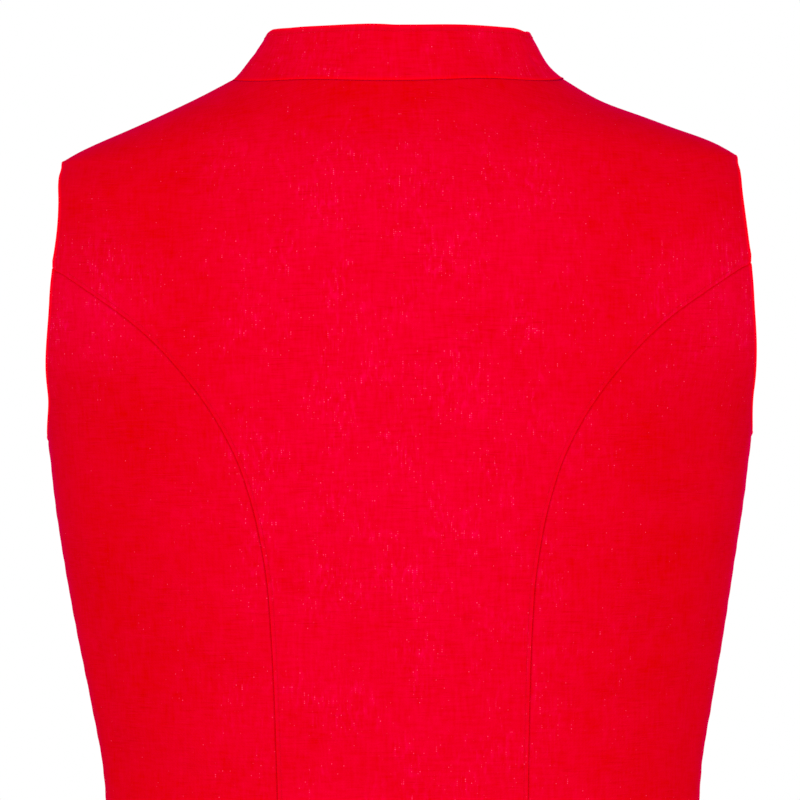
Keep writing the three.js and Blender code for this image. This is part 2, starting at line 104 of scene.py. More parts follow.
# How far the armhole's two edges stand behind and before the side seam.
ARMHOLE = table(
    "z back front",
    (-44, 0, 0), (-44.6, 5, 4.4), (-46, 9.2, 8), (-52, 19, 16.4), (-66, 33, 32), (-93, 43, 50),
    (-121, 45, 59), (-150, 41, 58), (-172, 31, 46), (-188, 16.5, 25), (-193, 8.6, 13.4),
    (-194.4, 4.7, 7.3), (-195, 0, 0),
)
# How far out from the middle the princess seams run at each level.
BACK_SEAM = table(
    "z out",
    (-102.4, 188.6), (-120, 162.4), (-133.5, 143.6), (-148.5, 127.2), (-176, 104.5), (-196, 92.3),
    (-214, 84.3), (-247, 75.4), (-281, 70.6), (-335, 68.1), (-410, 66.5),
)
FRONT_SEAM = table(
    "z out",
    (-122, 165.3), (-136, 150), (-155, 127), (-185, 106), (-222, 94), (-262, 88), (-310, 79),
    (-360, 71), (-410, 66),
)
SEAM_JOIN = 4.0  # over this height a princess seam swings to its place on the armhole
# Level sections of the skirt at each depth below the waist, and how far its folds stand out.
SKIRT_LEVELS = table(
    "drop half back front square fold",
    (0, 161.5, 88.5, 114.5, 2.1, 2.2), (26, 181, 107, 131, 2.1, 4.6), (70, 203, 133, 152, 2.1, 7.2),
    (150, 233, 170, 183, 2.05, 9.2), (270, 265, 208, 219, 2.0, 10.6),
    (410, 291, 241, 250, 2.0, 11.8), (560, 312, 268, 276, 2.0, 12.8),
    (700, 328, 288, 296, 2.0, 13.6),
)

# Soft creases in the worn bodice: side is 1 on the back, -1 on the front and 0 on both, x and z the
# middle, then half length, half width, height (below zero is a trough) and tilt in degrees.
CREASES = table(
    "side x z long wide high tilt",
    (0, -170, -39, 18, 14, 1.0, 24), (0, -196, -84, 46, 62, 2.4, 90),
    (0, -180, -262, 60, 60, -1.6, 90), (0, -110, -12, 22, 14, -1.3, 24),
    (0, 112, -12, 20, 14, 0.8, -24), (1, 166, -330, 110, 38, -4.2, 90),
    (1, -164, -316, 120, 40, -4.0, 90), (1, -168, -200, 36, 26, -1.4, 60),
    (1, 150, -84, 52, 15, -1.3, 14), (1, 166, -62, 34, 9, 0.7, 24), (1, 112, -50, 60, 13, -0.9, 20),
    (1, -118, -54, 66, 14, -0.9, -18), (1, -160, -92, 40, 13, 0.8, -10),
    (1, 182, -176, 34, 16, -1.6, -32), (1, 158, -204, 46, 14, -1.1, -24),
    (1, 168, -150, 30, 14, 1.3, -28), (1, -186, -142, 54, 26, 2.2, 90),
    (1, -138, -146, 40, 26, 1.5, 28), (1, -174, -186, 44, 20, -2.0, 30),
    (1, -166, -211, 24, 3.4, -1.5, 4), (1, -172, -218, 22, 4.0, 0.5, -2),
    (1, -158, -229, 30, 4.2, -1.1, 6), (1, -150, -262, 42, 6.5, -0.5, -3),
    (1, -142, -283, 36, 5.5, 0.5, 2), (1, -146, -304, 40, 6.5, -0.6, 5),
    (1, -128, -336, 44, 9, -0.7, -6), (1, -120, -372, 40, 8, 0.6, -8),
    (1, 150, -284, 44, 17, -1.2, -12), (1, 132, -318, 40, 12, -0.8, 8),
    (1, 148, -352, 34, 8, 0.7, 12), (1, 118, -378, 38, 9, -0.8, 6), (1, 34, -30, 70, 8, -0.5, 4),
    (1, -40, -28, 62, 7, -0.5, -5), (1, 22, -236, 66, 24, 0.5, 40),
    (1, -26, -318, 58, 18, -0.5, -16), (1, 14, -384, 56, 9, -0.6, 3),
    (-1, 158, -96, 44, 12, -1.0, -40), (-1, -156, -100, 46, 13, -1.1, 38),
    (-1, 132, -142, 40, 11, 0.7, -34), (-1, -128, -146, 38, 12, 0.7, 30),
    (-1, 160, -214, 36, 9, -1.0, 16), (-1, -162, -208, 40, 10, -1.1, -20),
    (-1, 144, -318, 40, 8, -0.9, 8), (-1, -140, -310, 44, 9, -0.9, -6),
    (-1, 126, -352, 36, 7, 0.6, 5), (-1, -130, -346, 38, 8, 0.6, -9),
    (-1, 110, -386, 40, 8, -0.8, -3), (-1, -104, -382, 42, 8, -0.8, 4),
    (-1, 46, -96, 46, 9, -0.5, 12), (-1, -52, -92, 44, 9, -0.5, -14),
)

# ---------------------------------------------------------------- curves and sections

SIDE = math.pi / 2
FRONT = math.pi


def mix(a, b, t):
    return a + (b - a) * t


def smooth(t):
    s = np.clip(t, 0, 1)
    return s * s * (3 - 2 * s)


def column_curve(table, key, name):
    """One column of a table as a smooth function of another, which never overshoots its rows."""
    rows = sorted(table, key=lambda row: row[key])
    x = np.array([row[key] for row in rows], float)
    y = np.array([row[name] for row in rows], float)
    grade = np.diff(y) / np.diff(x)
    before, after = grade[:-1], grade[1:]
    total = np.where(before + after == 0, 1, before + after)
    inner = np.where(before * after > 0, 2 * before * after / total, 0)
    tangent = np.concatenate([grade[:1], inner, grade[-1:]])

    def at(value):
        q = np.clip(np.asarray(value, float), x[0], x[-1])
        k = np.clip(np.searchsorted(x, q, side="right") - 1, 0, len(x) - 2)
        span = x[k + 1] - x[k]
        t = (q - x[k]) / span
        rise = (2 * t**3 - 3 * t**2 + 1) * y[k] + (3 * t**2 - 2 * t**3) * y[k + 1]
        bend = (t**3 - 2 * t**2 + t) * tangent[k] + (t**3 - t**2) * tangent[k + 1]
        return rise + span * bend

    return at


RING = ("half", "back", "front", "square")
section = {name: column_curve(SECTIONS, "z", name) for name in RING}
armhole_depth = {name: column_curve(ARMHOLE, "z", name) for name in ("back", "front")}
back_seam_out = column_curve(BACK_SEAM, "z", "out")
front_seam_out = column_curve(FRONT_SEAM, "z", "out")


def ring_radius(turn, half, back, front, square):
    depth = np.where(np.cos(turn) >= 0, back, front)
    across = np.abs(np.sin(turn)) / half
    along = np.abs(np.cos(turn)) / depth
    return (across**square + along**square) ** (-1 / square)


# Away from the side seams the shoulder tip's knee is spread over a hand's breadth.
LEVELS = np.arange(WAIST_Z - 40, 1)
SOFT_HALF = np.mean(
    [section["half"](np.minimum(0, LEVELS + apart)) for apart in range(-18, 19, 3)], axis=0
)


def half_width(turn, z):
    sharp = section["half"](z)
    soft = np.interp(z, LEVELS, SOFT_HALF)
    share = smooth(np.abs(np.cos(turn)) / 0.5) * smooth((-z - 8) / 26)
    return mix(sharp, soft, share)


def bust_swell(turn, z):
    side = np.minimum(np.abs(turn), 2 * math.pi - np.abs(turn))
    a = (side - BUST["angle"]) / BUST["spread_angle"]
    b = (z - BUST["z"]) / BUST["spread_z"]
    return BUST["swell"] * np.exp(-(a * a + b * b) / 2)


def body_point(turn, z):
    """The worn surface. turn is 0 at centre back, SIDE at the left and FRONT at centre front."""
    turn, z = np.broadcast_arrays(np.asarray(turn, float), np.asarray(z, float))
    others = [section[name](z) for name in RING[1:]]
    r = ring_radius(turn, half_width(turn, z), *others) + bust_swell(turn, z)
    return np.stack([r * np.sin(turn), r * np.cos(turn), z], axis=-1)


def unit(v):
    return v / np.maximum(np.linalg.norm(v, axis=-1, keepdims=True), 1e-9)


def body_normal(turn, z):
    turn, z = np.broadcast_arrays(np.asarray(turn, float), np.asarray(z, float))
    high = np.minimum(z + 0.5, 0)
    around = body_point(turn + 0.004, z) - body_point(turn - 0.004, z)
    up = body_point(turn, high) - body_point(turn, high - 1)
    return unit(np.cross(up, around))


def crease_height(points):
    """How far the worn cloth stands off the plain form, from the table of creases."""
    x, y, z = points[..., 0], points[..., 1], points[..., 2]
    height = np.zeros(x.shape)
    for crease in CREASES:
        tilt = math.radians(crease["tilt"])
        dx, dz = x - crease["x"], z - crease["z"]
        along = (dx * math.cos(tilt) + dz * math.sin(tilt)) / crease["long"]
        across = (dz * math.cos(tilt) - dx * math.sin(tilt)) / crease["wide"]
        shown = 1 if crease["side"] == 0 else smooth((crease["side"] * y - 4) / 34)
        height += crease["high"] * np.exp(-(along**2) - across**2) * shown
    return height


# ---------------------------------------------------------------- seam and edge lines, left half


def turn_where(value, target, low, high):
    """The turn between low and high at which a falling value meets its target."""
    a = np.full(np.shape(target), low, float)
    b = np.full(np.shape(target), high, float)
    for _ in range(46):
        middle = (a + b) / 2
        above = value(middle) > target
        a = np.where(above, middle, a)
        b = np.where(above, b, middle)
    return (a + b) / 2


def line(turn, z):
    turn, z = np.broadcast_arrays(np.asarray(turn, float), np.asarray(z, float))
    return np.stack([turn, z], axis=-1)


def place(at):
    return body_point(at[..., 0], at[..., 1])


def armhole_line(edge, from_z, to_z):
    def at(t):
        z = mix(from_z, to_z, np.asarray(t, float))
        y = armhole_depth[edge](z) * (1 if edge == "back" else -1)
        return line(turn_where(lambda turn: body_point(turn, z)[..., 1], y, 0, FRONT), z)

    return at


BACK_TOP_Z = BACK_SEAM[0]["z"]
FRONT_TOP_Z = FRONT_SEAM[0]["z"]
back_end_turn = armhole_line("back", BACK_TOP_Z, BACK_TOP_Z)(0.0)[0]
front_end_turn = armhole_line("front", FRONT_TOP_Z, FRONT_TOP_Z)(0.0)[0]


def back_seam_line(t):
    z = mix(WAIST_Z, BACK_TOP_Z, np.asarray(t, float))
    turn = turn_where(lambda a: -body_point(a, z)[..., 0], -back_seam_out(z), 0, SIDE)
    return line(mix(turn, back_end_turn, smooth((z - BACK_TOP_Z) / SEAM_JOIN + 1)), z)


def front_seam_line(t):
    z = mix(WAIST_Z, FRONT_TOP_Z, np.asarray(t, float))
    turn = turn_where(lambda a: body_point(a, z)[..., 0], front_seam_out(z), SIDE, FRONT)
    return line(mix(turn, front_end_turn, smooth((z - FRONT_TOP_Z) / SEAM_JOIN + 1)), z)


def side_seam_line(t):
    return line(SIDE, mix(WAIST_Z, UNDERARM_Z, np.asarray(t, float)))


def shoulder_line(t):
    return line(SIDE, mix(SHOULDER_TIP_Z, 0, np.asarray(t, float)))


def neck_drop(turn):
    t = np.abs(turn)
    back = -NECK_BACK_DIP * np.cos(t) ** 2
    sag = (1.9 - 0.4 * np.sin(turn)) * np.exp(-(((t - 1.13) / 0.3) ** 2))
    back = back - sag * smooth((SIDE - t) / 0.25)
    towards_front = np.clip((t - SIDE) / (SIDE - NECK_LEVEL_TURN), 0, 1)
    front = -NECK_FRONT_DROP * np.sin(towards_front * SIDE) ** 2
    return np.where(t <= SIDE, back, front)


def neck_line(first, last):
    def at(t):
        turn = mix(first, last, np.asarray(t, float))
        return line(turn, neck_drop(turn))

    return at


def waist_line(first, last):
    return lambda t: line(mix(first, last, np.asarray(t, float)), WAIST_Z)


def lap_line(t):
    z = mix(WAIST_Z, -NECK_FRONT_DROP, np.asarray(t, float))
    return line(FRONT + LAP["past"] / -body_point(FRONT, z)[..., 1], z)


def lengths_along(points):
    step = np.linalg.norm(np.diff(points, axis=0), axis=-1)
    return np.concatenate([[0], np.cumsum(step)])


def spaced(edge, steps):
    """Places on a line, evenly spaced by real length."""
    t = np.linspace(0, 1, 1200)
    run = lengths_along(place(edge(t)))
    return edge(np.interp(np.linspace(0, run[-1], steps + 1), run, t))


def chain(*edges):
    return np.concatenate([edges[0], *[edge[1:] for edge in edges[1:]]])


def mirrored(at):
    return at * np.array([-1, 1])


def patch(left, right, bottom, top):
    """Places between four edges that share their corners."""
    v = np.linspace(0, 1, len(left))[:, None, None]
    u = np.linspace(0, 1, len(bottom))[None, :, None]
    corners = (1 - u) * ((1 - v) * left[0] + v * left[-1])
    corners = corners + u * ((1 - v) * right[0] + v * right[-1])
    sides = mix(left[:, None], right[:, None], u)
    ends = mix(bottom[None], top[None], v)
    return sides + ends - corners


# ---------------------------------------------------------------- cloth grids

NEAR = np.array([0, 0.35, 0.8, 1.5, 2.2, 2.9, 3.6, 4.6])  # extra lines of points beside an edge


def respaced(grid, count, insets, near=(True, True)):
    """Spaces each row's places by real length, denser beside its ends. insets draw the ends in."""
    made = []
    points = place(grid)
    for i in range(len(grid)):
        run = lengths_along(points[i])
        ahead, behind = min(i + 1, len(grid) - 1), max(i - 1, 0)
        ends = []
        for j, k in ((0, 1), (-1, -2)):
            edge = unit(points[ahead, j] - points[behind, j])
            row = unit(points[i, k] - points[i, j])
            ends.append(1 / max(0.3, math.sqrt(max(0, 1 - float(edge @ row) ** 2))))
        low = ends[0] * (insets[0] + (NEAR if near[0] else NEAR[:1]))
        high = run[-1] - ends[1] * (insets[1] + (NEAR if near[1] else NEAR[:1]))
        middle = np.linspace(low[-1], high[-1], count)
        wanted = np.concatenate([low[:-1], middle, high[:-1][::-1]])
        made.append(np.stack([np.interp(wanted, run, grid[i, :, c]) for c in (0, 1)], axis=-1))
    return np.array(made)


def crossways(grid, *args, **kwargs):
    return respaced(grid.transpose(1, 0, 2), *args, **kwargs).transpose(1, 0, 2)


TUCK_STEPS = np.array([0.5, 1.0, 2.2, 5.0])
TUCK_PROFILE = np.array([0.86, 0.42, 0.1])  # how an edge sinks over its last three lines of points


def tucked(grid, lift, side, trimmed=0.0):
    """Runs the cloth on under its neighbour, past the left or right end of each row."""
    if side == "right":
        flipped, lifted = tucked(grid[:, ::-1], lift[:, ::-1], "left", trimmed)
        return flipped[:, ::-1], lifted[:, ::-1]
    points = place(grid)
    apart = np.linalg.norm(points[:, 0] - points[:, 4], axis=-1)[:, None]
    direction = (grid[:, 0] - grid[:, 4]) / apart
    # The hidden strip stops short of the armhole.
    run = lengths_along(points[:, 0])
    short = run - trimmed * np.clip(1 - (run[-1] - run) / 6, 0, 1)
    extra = [grid[:, 0] + direction * step for step in TUCK_STEPS[::-1]]
    extra = [line(np.interp(short, run, at[:, 0]), np.interp(short, run, at[:, 1])) for at in extra]
    sunk = -np.concatenate([np.ones(len(TUCK_STEPS)), TUCK_PROFILE])
    lowered = np.concatenate([np.zeros((len(grid), len(TUCK_STEPS))), lift], axis=1)
    lowered[:, : len(sunk)] += sunk * TUCK
    return np.concatenate([np.stack(extra, axis=1), grid], axis=1), lowered


def seam_track(at):
    points = place(at)
    return points, lengths_along(points)


def beside(points, track):
    """Distance from a seam, and how far along it the nearest place is."""
    line_points, run = track
    flat = points.reshape(-1, 3)
    best = np.full(len(flat), 1e9)
    along = np.zeros(len(flat))
    for start in range(0, len(flat), 4000):
        part = flat[start : start + 4000]
        far = np.linalg.norm(part[:, None] - line_points[None], axis=-1)
        nearest = far.argmin(axis=1)
        best[start : start + 4000] = far[np.arange(len(part)), nearest]
        along[start : start + 4000] = run[nearest]
    return best.reshape(points.shape[:-1]), along.reshape(points.shape[:-1])


def pucker(distance, along, phase):
    """Small ripples that sewing draws into the cloth on both sides of a seam."""
    long, longer = PUCKER["waves"]
    wave = np.sin(along * 2 * math.pi / long + phase)
    wave = wave + 0.7 * np.sin(along * 2 * math.pi / longer + 2.1 * phase)
    return PUCKER["high"] * np.exp(-distance / PUCKER["fades"]) * wave * smooth(distance / 1.5)


def ridge(distance):
    return SEAM_RIDGE * (1 - smooth((distance - 5.0) / 3.0))


# ---------------------------------------------------------------- meshes


def new_object(name, points, faces, attributes):
    """A smooth mesh, from places in millimetres and the numbers that its cloth carries."""
    mesh = bpy.data.meshes.new(name)
    mesh.from_pydata((np.asarray(points) / 1000).tolist(), [], faces)
    for label, kind, values in attributes:
        layer = mesh.attributes.new(label, kind, "POINT")
        part = "vector" if kind == "FLOAT_VECTOR" else "value"
        layer.data.foreach_set(part, np.ravel(values).astype(np.float32))
    mesh.polygons.foreach_set("use_smooth", np.full(len(mesh.polygons), True))
    mesh.update()
    piece = bpy.data.objects.new(name, mesh)
    bpy.context.scene.collection.objects.link(piece)
    return piece


def finished(piece, material):
    """Gives a piece its cloth or thread. It moves with the dress and takes the linen's finish."""
    piece.data.materials.append(material)
    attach(piece, "root")
    return piece


def ring_faces(rings, sides, start=0):
    """The quads between rings of places, each ring joined to the next."""
    faces = []
    for low in range(start, start + (rings - 1) * sides, sides):
        for a in range(sides):
            b = (a + 1) % sides
            faces.append([low + a, low + b, low + sides + b, low + sides + a])
    return faces


def rim_order(rows, columns):
    bottom = [(0, j) for j in range(columns)]
    right = [(i, columns - 1) for i in range(1, rows)]
    top = [(rows - 1, j) for j in range(columns - 2, -1, -1)]
    left = [(i, 0) for i in range(rows - 2, 0, -1)]
    return np.array(bottom + right + top + left)


def cloth_shell(name, outer, normals, thick, bulge, cloth, marks):
    """A closed cloth wall. bulge rounds its left, right, bottom and top edges by that much. marks
    are numbers that its cloth carries from place to place: edge and seam, near which it is painted
    lighter, and the share of painted light, where it is painted lighter and pinker."""
    rows, columns = outer.shape[:2]
    inner = outer - normals * thick
    rim = rim_order(rows, columns)
    i, j = rim[:, 0], rim[:, 1]
    push = np.zeros((len(rim), 3))
    amount = np.zeros(len(rim))
    sides = (
        (j == 0, (0, 1), bulge[0]),
        (j == columns - 1, (0, -1), bulge[1]),
        (i == 0, (1, 0), bulge[2]),
        (i == rows - 1, (-1, 0), bulge[3]),
    )
    for on, (di, dj), size in sides:
        inside = outer[np.clip(i + di, 0, rows - 1), np.clip(j + dj, 0, columns - 1)]
        away = unit(outer[i, j] - inside)
        push += np.where(on[:, None], away, 0)
        amount = np.maximum(amount, np.where(on, size, 0))
    push = unit(push)
    steps = 4
    rings = []
    for k in range(1, steps):
        swing = math.pi * k / steps
        share = (1 + math.cos(swing)) / 2
        middle = outer[i, j] * share + inner[i, j] * (1 - share)
        rings.append(middle + push * amount[:, None] * math.sin(swing))
    count = rows * columns
    index = np.arange(count).reshape(rows, columns)
    quads = (index[:-1, :-1], index[:-1, 1:], index[1:, 1:], index[1:, :-1])
    front = np.stack(quads, axis=-1).reshape(-1, 4)
    back = front[:, ::-1] + count
    between = [2 * count + k * len(rim) + np.arange(len(rim)) for k in range(steps - 1)]
    edge_rings = [index[i, j], *between, index[i, j] + count]
    strips = []
    for above, below in zip(edge_rings[:-1], edge_rings[1:]):
        strips.append(np.stack([above, below, np.roll(below, -1), np.roll(above, -1)], axis=-1))
    faces = np.concatenate([front, back, *strips])
    points = np.concatenate([outer.reshape(-1, 3), inner.reshape(-1, 3), *rings])
    corners = points[front]
    facing = np.cross(corners[:, 1] - corners[:, 0], corners[:, 2] - corners[:, 0])
    if np.sum(facing * normals.reshape(-1, 3)[front[:, 0]]) < 0:
        faces = faces[:, ::-1]
    woven = np.concatenate([cloth.reshape(-1, 3)] * 2 + [cloth[i, j]] * (steps - 1))
    attributes = [("cloth", "FLOAT_VECTOR", woven)]
    for label, values in marks.items():
        values = np.broadcast_to(values, outer.shape[:2])
        carried = np.concatenate([values.ravel()] * 2 + [values[i, j]] * (steps - 1))
        attributes.append((label, "FLOAT", carried))
    return new_object(name, points, faces.tolist(), attributes)


GRAIN_TURNS = np.linspace(0, FRONT + 0.3, 420)
GRAIN_LEVELS = np.linspace(WAIST_Z - 12, 0, 150)
grain_points = body_point(GRAIN_TURNS[None], GRAIN_LEVELS[:, None])
grain_steps = [np.linalg.norm(np.diff(grain_points, axis=k), axis=-1) for k in (0, 1)]
grain_up = np.pad(np.cumsum(grain_steps[0], axis=0), ((1, 0), (0, 0)))
grain_across = np.pad(np.cumsum(grain_steps[1], axis=1), ((0, 0), (1, 0)))


def from_table(table, turn, z):
    """Reads a table of turns and levels, smoothly between its places."""
    a = np.clip(np.abs(turn) / GRAIN_TURNS[-1], 0, 1) * (len(GRAIN_TURNS) - 1)
    height = GRAIN_LEVELS[-1] - GRAIN_LEVELS[0]
    b = np.clip((z - GRAIN_LEVELS[0]) / height, 0, 1) * (len(GRAIN_LEVELS) - 1)
    i = np.minimum(a.astype(int), len(GRAIN_TURNS) - 2)
    j = np.minimum(b.astype(int), len(GRAIN_LEVELS) - 2)
    low = mix(table[j, i], table[j, i + 1], a - i)
    high = mix(table[j + 1, i], table[j + 1, i + 1], a - i)
    return mix(low, high, b - j)


def straight_grain(grid, seed):
    """Where each place lies on the flat cloth in millimetres: across the upright warp and up it."""
    turn, z = grid[..., 0], grid[..., 1]
    across = from_table(grain_across, turn, z)
    if np.mean(np.abs(turn)) > SIDE:  # a front is laid out from its own middle
        across = from_table(grain_across, np.full(turn.shape, FRONT), z) - across
    across = np.sign(turn) * across
    return np.stack([across, from_table(grain_up, turn, z), np.full(turn.shape, seed)], axis=-1)


# ---------------------------------------------------------------- materials


def linear(colour):
    """A hex sRGB colour as linear values."""
    parts = [int(colour[k : k + 2], 16) / 255 for k in (1, 3, 5)]
    parts = [p / 12.92 if p <= 0.04045 else ((p + 0.055) / 1.055) ** 2.4 for p in parts]
    return (*parts, 1.0)


def add_node(tree, kind, settings=None, inputs=None, links=None):
    """Adds a node with its settings, input values and links."""
    node = tree.nodes.new(kind)
    for name, value in (settings or {}).items():
        setattr(node, name, value)
    for name, value in (inputs or {}).items():
        node.inputs[name].default_value = value
    for name, source in (links or {}).items():
        tree.links.new(source, node.inputs[name])
    return node


def new_material(name):
    material = bpy.data.materials.new(name)
    material.use_nodes = True
    tree = material.node_tree
    tree.nodes.clear()
    output = add_node(tree, "ShaderNodeOutputMaterial")
    return material, tree, output


def attribute(tree, name, output="Fac"):
    return add_node(tree, "ShaderNodeAttribute", {"attribute_name": name}).outputs[output]


def vector_math(tree, operation, value, constant=(0.0, 0.0, 0.0)):
    settings = {"operation": operation}
    node = add_node(tree, "ShaderNodeVectorMath", settings, {1: constant}, {0: value})
    return node.outputs["Value" if operation == "LENGTH" else "Vector"]


def stretched_noise(tree, cloth, across_mm, up_mm, detail):
    """Noise whose grain is this long across and up the cloth."""
    scaled = vector_math(tree, "MULTIPLY", cloth, (1 / across_mm, 1 / up_mm, 1.0))
    values = {"Scale": 1.0, "Detail": detail, "Roughness": 0.55}
    settings = {"noise_dimensions": "3D"}
    noise = add_node(tree, "ShaderNodeTexNoise", settings, values, {"Vector": scaled})
    return noise.outputs["Fac"]


def ranged(tree, value, from_low, from_high, to_low, to_high):
    values = {"From Min": from_low, "From Max": from_high, "To Min": to_low, "To Max": to_high}
    node = add_node(tree, "ShaderNodeMapRange", {"clamp": True}, values, {"Value": value})
    return node.outputs["Result"]


def calculated(tree, operation, first, second=0.0):
    node = add_node(tree, "ShaderNodeMath", {"operation": operation})
    for k, value in enumerate((first, second)):
        if isinstance(value, (int, float)):
            node.inputs[k].default_value = value
        else:
            tree.links.new(value, node.inputs[k])
    return node.outputs[0]


def product(tree, first, *others):
    for other in others:
        first = calculated(tree, "MULTIPLY", first, other)
    return first


def total(tree, first, *others):
    for other in others:
        first = calculated(tree, "ADD", first, other)
    return first


def relief_of(tree, height, strength, distance):
    values = {"Strength": strength, "Distance": distance}
    return add_node(tree, "ShaderNodeBump", {}, values, {"Height": height}).outputs["Normal"]


def surfaced(material, tree, output, values, links):
    """Ends a material's nodes with its surface."""
    shader = add_node(tree, "ShaderNodeBsdfPrincipled", {}, values, links)
    tree.links.new(shader.outputs[0], output.inputs[0])
    return material


def blended(tree, share, first, second):
    """Mixes two colours, each a hex value or another node's output."""
    node = add_node(tree, "ShaderNodeMix", {"data_type": "RGBA"}, {}, {0: share})
    for k, colour in ((6, first), (7, second)):
        if isinstance(colour, str):
            node.inputs[k].default_value = linear(colour)
        else:
            tree.links.new(colour, node.inputs[k])
    return node.outputs[2]


def piece_dyed_linen(
    name, deep, bright, slub_red, rubbed_and_lit_edge_red, painted_seam_light_red, thin_red, pale, weave_mm
):
    """Plain-weave linen, dyed in the piece: matt, with thick and thin yarns, a cloudy dye and
    pinholes between the yarns where light comes through."""
    material, tree, output = new_material(name)
    cloth = attribute(tree, "cloth", "Vector")
    worn, sewn, painted_light_share = [attribute(tree, mark) for mark in ("edge", "seam", "painted_light_share")]

    # Thicker weft yarns run across and warp yarns up, each a few millimetres long before it thins
    # again. A yarn is about 0.5 mm, and drawn in groups of three to show. Where the share of
    # painted light is high the cloth is painted lighter and its yarns stand out more: painted
    # light.
    weft = stretched_noise(tree, cloth, 10.0, 1.9, 2.5)
    warp = stretched_noise(tree, cloth, 1.9, 12.0, 2.5)
    cloud = stretched_noise(tree, cloth, 11.0, 14.0, 3.0)
    blotch = stretched_noise(tree, cloth, 52.0, 44.0, 2.0)
    hatch = calculated(tree, "SUBTRACT", total(tree, weft, warp), 1.0)
    hatch = product(tree, hatch, ranged(tree, painted_light_share, 0.0, 1.0, 0.55, 1.1))
    parts = ((cloud, 0.6), (blotch, 0.5), (painted_light_share, 0.4))
    tone = total(tree, hatch, *[product(tree, value, weight) for value, weight in parts])
    middle = 0.5 * (0.6 + 0.5 + 0.4) + 0.05
    share = ranged(tree, tone, middle - 0.46, middle + 0.46, 0.0, 1.0)
    colour = blended(tree, share, deep, bright)

    # Single thick weft slubs take the dye darker and thin ones lighter, as short level dashes.
    slub = stretched_noise(tree, cloth, 14.0, 0.6, 1.0)
    dashes = stretched_noise(tree, cloth, 38.0, 30.0, 1.0)
    where = ranged(tree, dashes, 0.4, 0.6, 0.15, 1.0)
    thick = product(tree, ranged(tree, slub, 0.58, 0.76, 0.0, 0.7), where)
    fine = product(tree, ranged(tree, slub, 0.4, 0.27, 0.0, 0.5), where)
    colour = blended(tree, fine, blended(tree, thick, colour, slub_red), bright)

    # Between thin warp yarns the cloth looks pinker, in small upright patches that come in groups,
    # most where the share of painted light is high, so this is partly painted light.
    run = stretched_noise(tree, cloth, 2.9, 6.4, 1.5)
    patch_of_runs = stretched_noise(tree, cloth, 22.0, 34.0, 2.0)
    grouped = product(tree, ranged(tree, patch_of_runs, 0.42, 0.62, 0.06, 1.0), painted_light_share)
    column = stretched_noise(tree, cloth, 1.15, 9.0, 1.0)
    in_runs = ranged(tree, run, 0.5, 0.76, 0.0, 0.7)
    in_columns = ranged(tree, column, 0.56, 0.78, 0.0, 0.6)
    thin = product(tree, total(tree, in_runs, in_columns), grouped)
    colour = blended(tree, thin, colour, thin_red)

    # Pinholes stand there, in rows between the yarns: one cell in several has one.
    cells = vector_math(tree, "MULTIPLY", cloth, (1 / 1.1, 1 / 1.1, 1.0))
    cell = vector_math(tree, "FLOOR", cells)
    centred = vector_math(tree, "SUBTRACT", vector_math(tree, "FRACTION", cells), (0.5, 0.5, 0.0))
    far = vector_math(tree, "LENGTH", vector_math(tree, "MULTIPLY", centred, (1.0, 1.0, 0.0)))
    dot = ranged(tree, far, 0.08, 0.32, 1.0, 0.0)
    settings = {"noise_dimensions": "3D"}
    chance = add_node(tree, "ShaderNodeTexWhiteNoise", settings, {}, {"Vector": cell}).outputs
    wanted = product(
        tree,
        ranged(tree, column, 0.54, 0.68, 0.0, 0.85),
        grouped,
        ranged(tree, run, 0.44, 0.6, 0.08, 1.0),
    )
    hole = product(tree, calculated(tree, "LESS_THAN", chance["Value"], wanted), dot)
    random_parts = add_node(tree, "ShaderNodeSeparateColor", {}, {}, {0: chance["Color"]})
    hole = product(tree, hole, ranged(tree, random_parts.outputs[1], 0.0, 1.0, 0.02, 0.55))
    colour = blended(tree, hole, colour, pale)
    # Near turned edges the cloth is painted lighter: partly rubbed wear, partly a painted highlight
    # where the rolled edge catches the light.
    colour = blended(tree, product(tree, worn, 0.75), colour, rubbed_and_lit_edge_red)
    # Along the seams the cloth is painted lighter: painted light that offsets the shade in the
    # seam's groove.
    colour = blended(tree, product(tree, sewn, 0.9), colour, painted_seam_light_red)

    # The weave itself is relief only: yarns over and under each other.
    scaled = vector_math(tree, "MULTIPLY", cloth, (math.pi / weave_mm,) * 2 + (0.0,))
    yarn = add_node(tree, "ShaderNodeSeparateXYZ", {}, {}, {0: scaled}).outputs
    over = product(tree, *[calculated(tree, "SINE", yarn[k]) for k in (0, 1)])
    parts = ((over, 0.35), (weft, 1.2), (warp, 0.9), (slub, 0.8))
    relief = total(tree, *[product(tree, value, weight) for value, weight in parts])
    values = {
        "IOR": 1.5,
        "Specular IOR Level": 0.0,
        "Metallic": 0.0,
        "Sheen Weight": 0.12,
        "Sheen Roughness": 0.3,
        "Sheen Tint": linear("#B400B0"),
    }
    links = {
        "Base Color": colour,
        "Roughness": ranged(tree, weft, 0.3, 0.7, 0.82, 0.92),
        "Normal": relief_of(tree, relief, 0.5, 0.00022),
    }
    return surfaced(material, tree, output, values, links)


def polyester_thread(name, colour_low, colour_high, needle_hole_shade):
    """Twisted sewing thread in the cloth's own red, a little smoother than the linen, with painted
    shade where it goes down a needle hole."""
    material, tree, output = new_material(name)
    settings = {"wave_type": "BANDS", "bands_direction": "DIAGONAL"}
    cloth = attribute(tree, "cloth", "Vector")
    twist = add_node(tree, "ShaderNodeTexWave", settings, {"Scale": 1.6}, {"Vector": cloth})
    twist = twist.outputs["Fac"]
    colour = blended(tree, twist, colour_low, colour_high)
    colour = blended(tree, attribute(tree, "needle_hole_shade"), colour, needle_hole_shade)
    values = {"IOR": 1.5, "Specular IOR Level": 0.02, "Roughness": 0.75}
    links = {"Base Color": colour, "Normal": relief_of(tree, twist, 0.5, 0.0001)}
    return surfaced(material, tree, output, values, links)


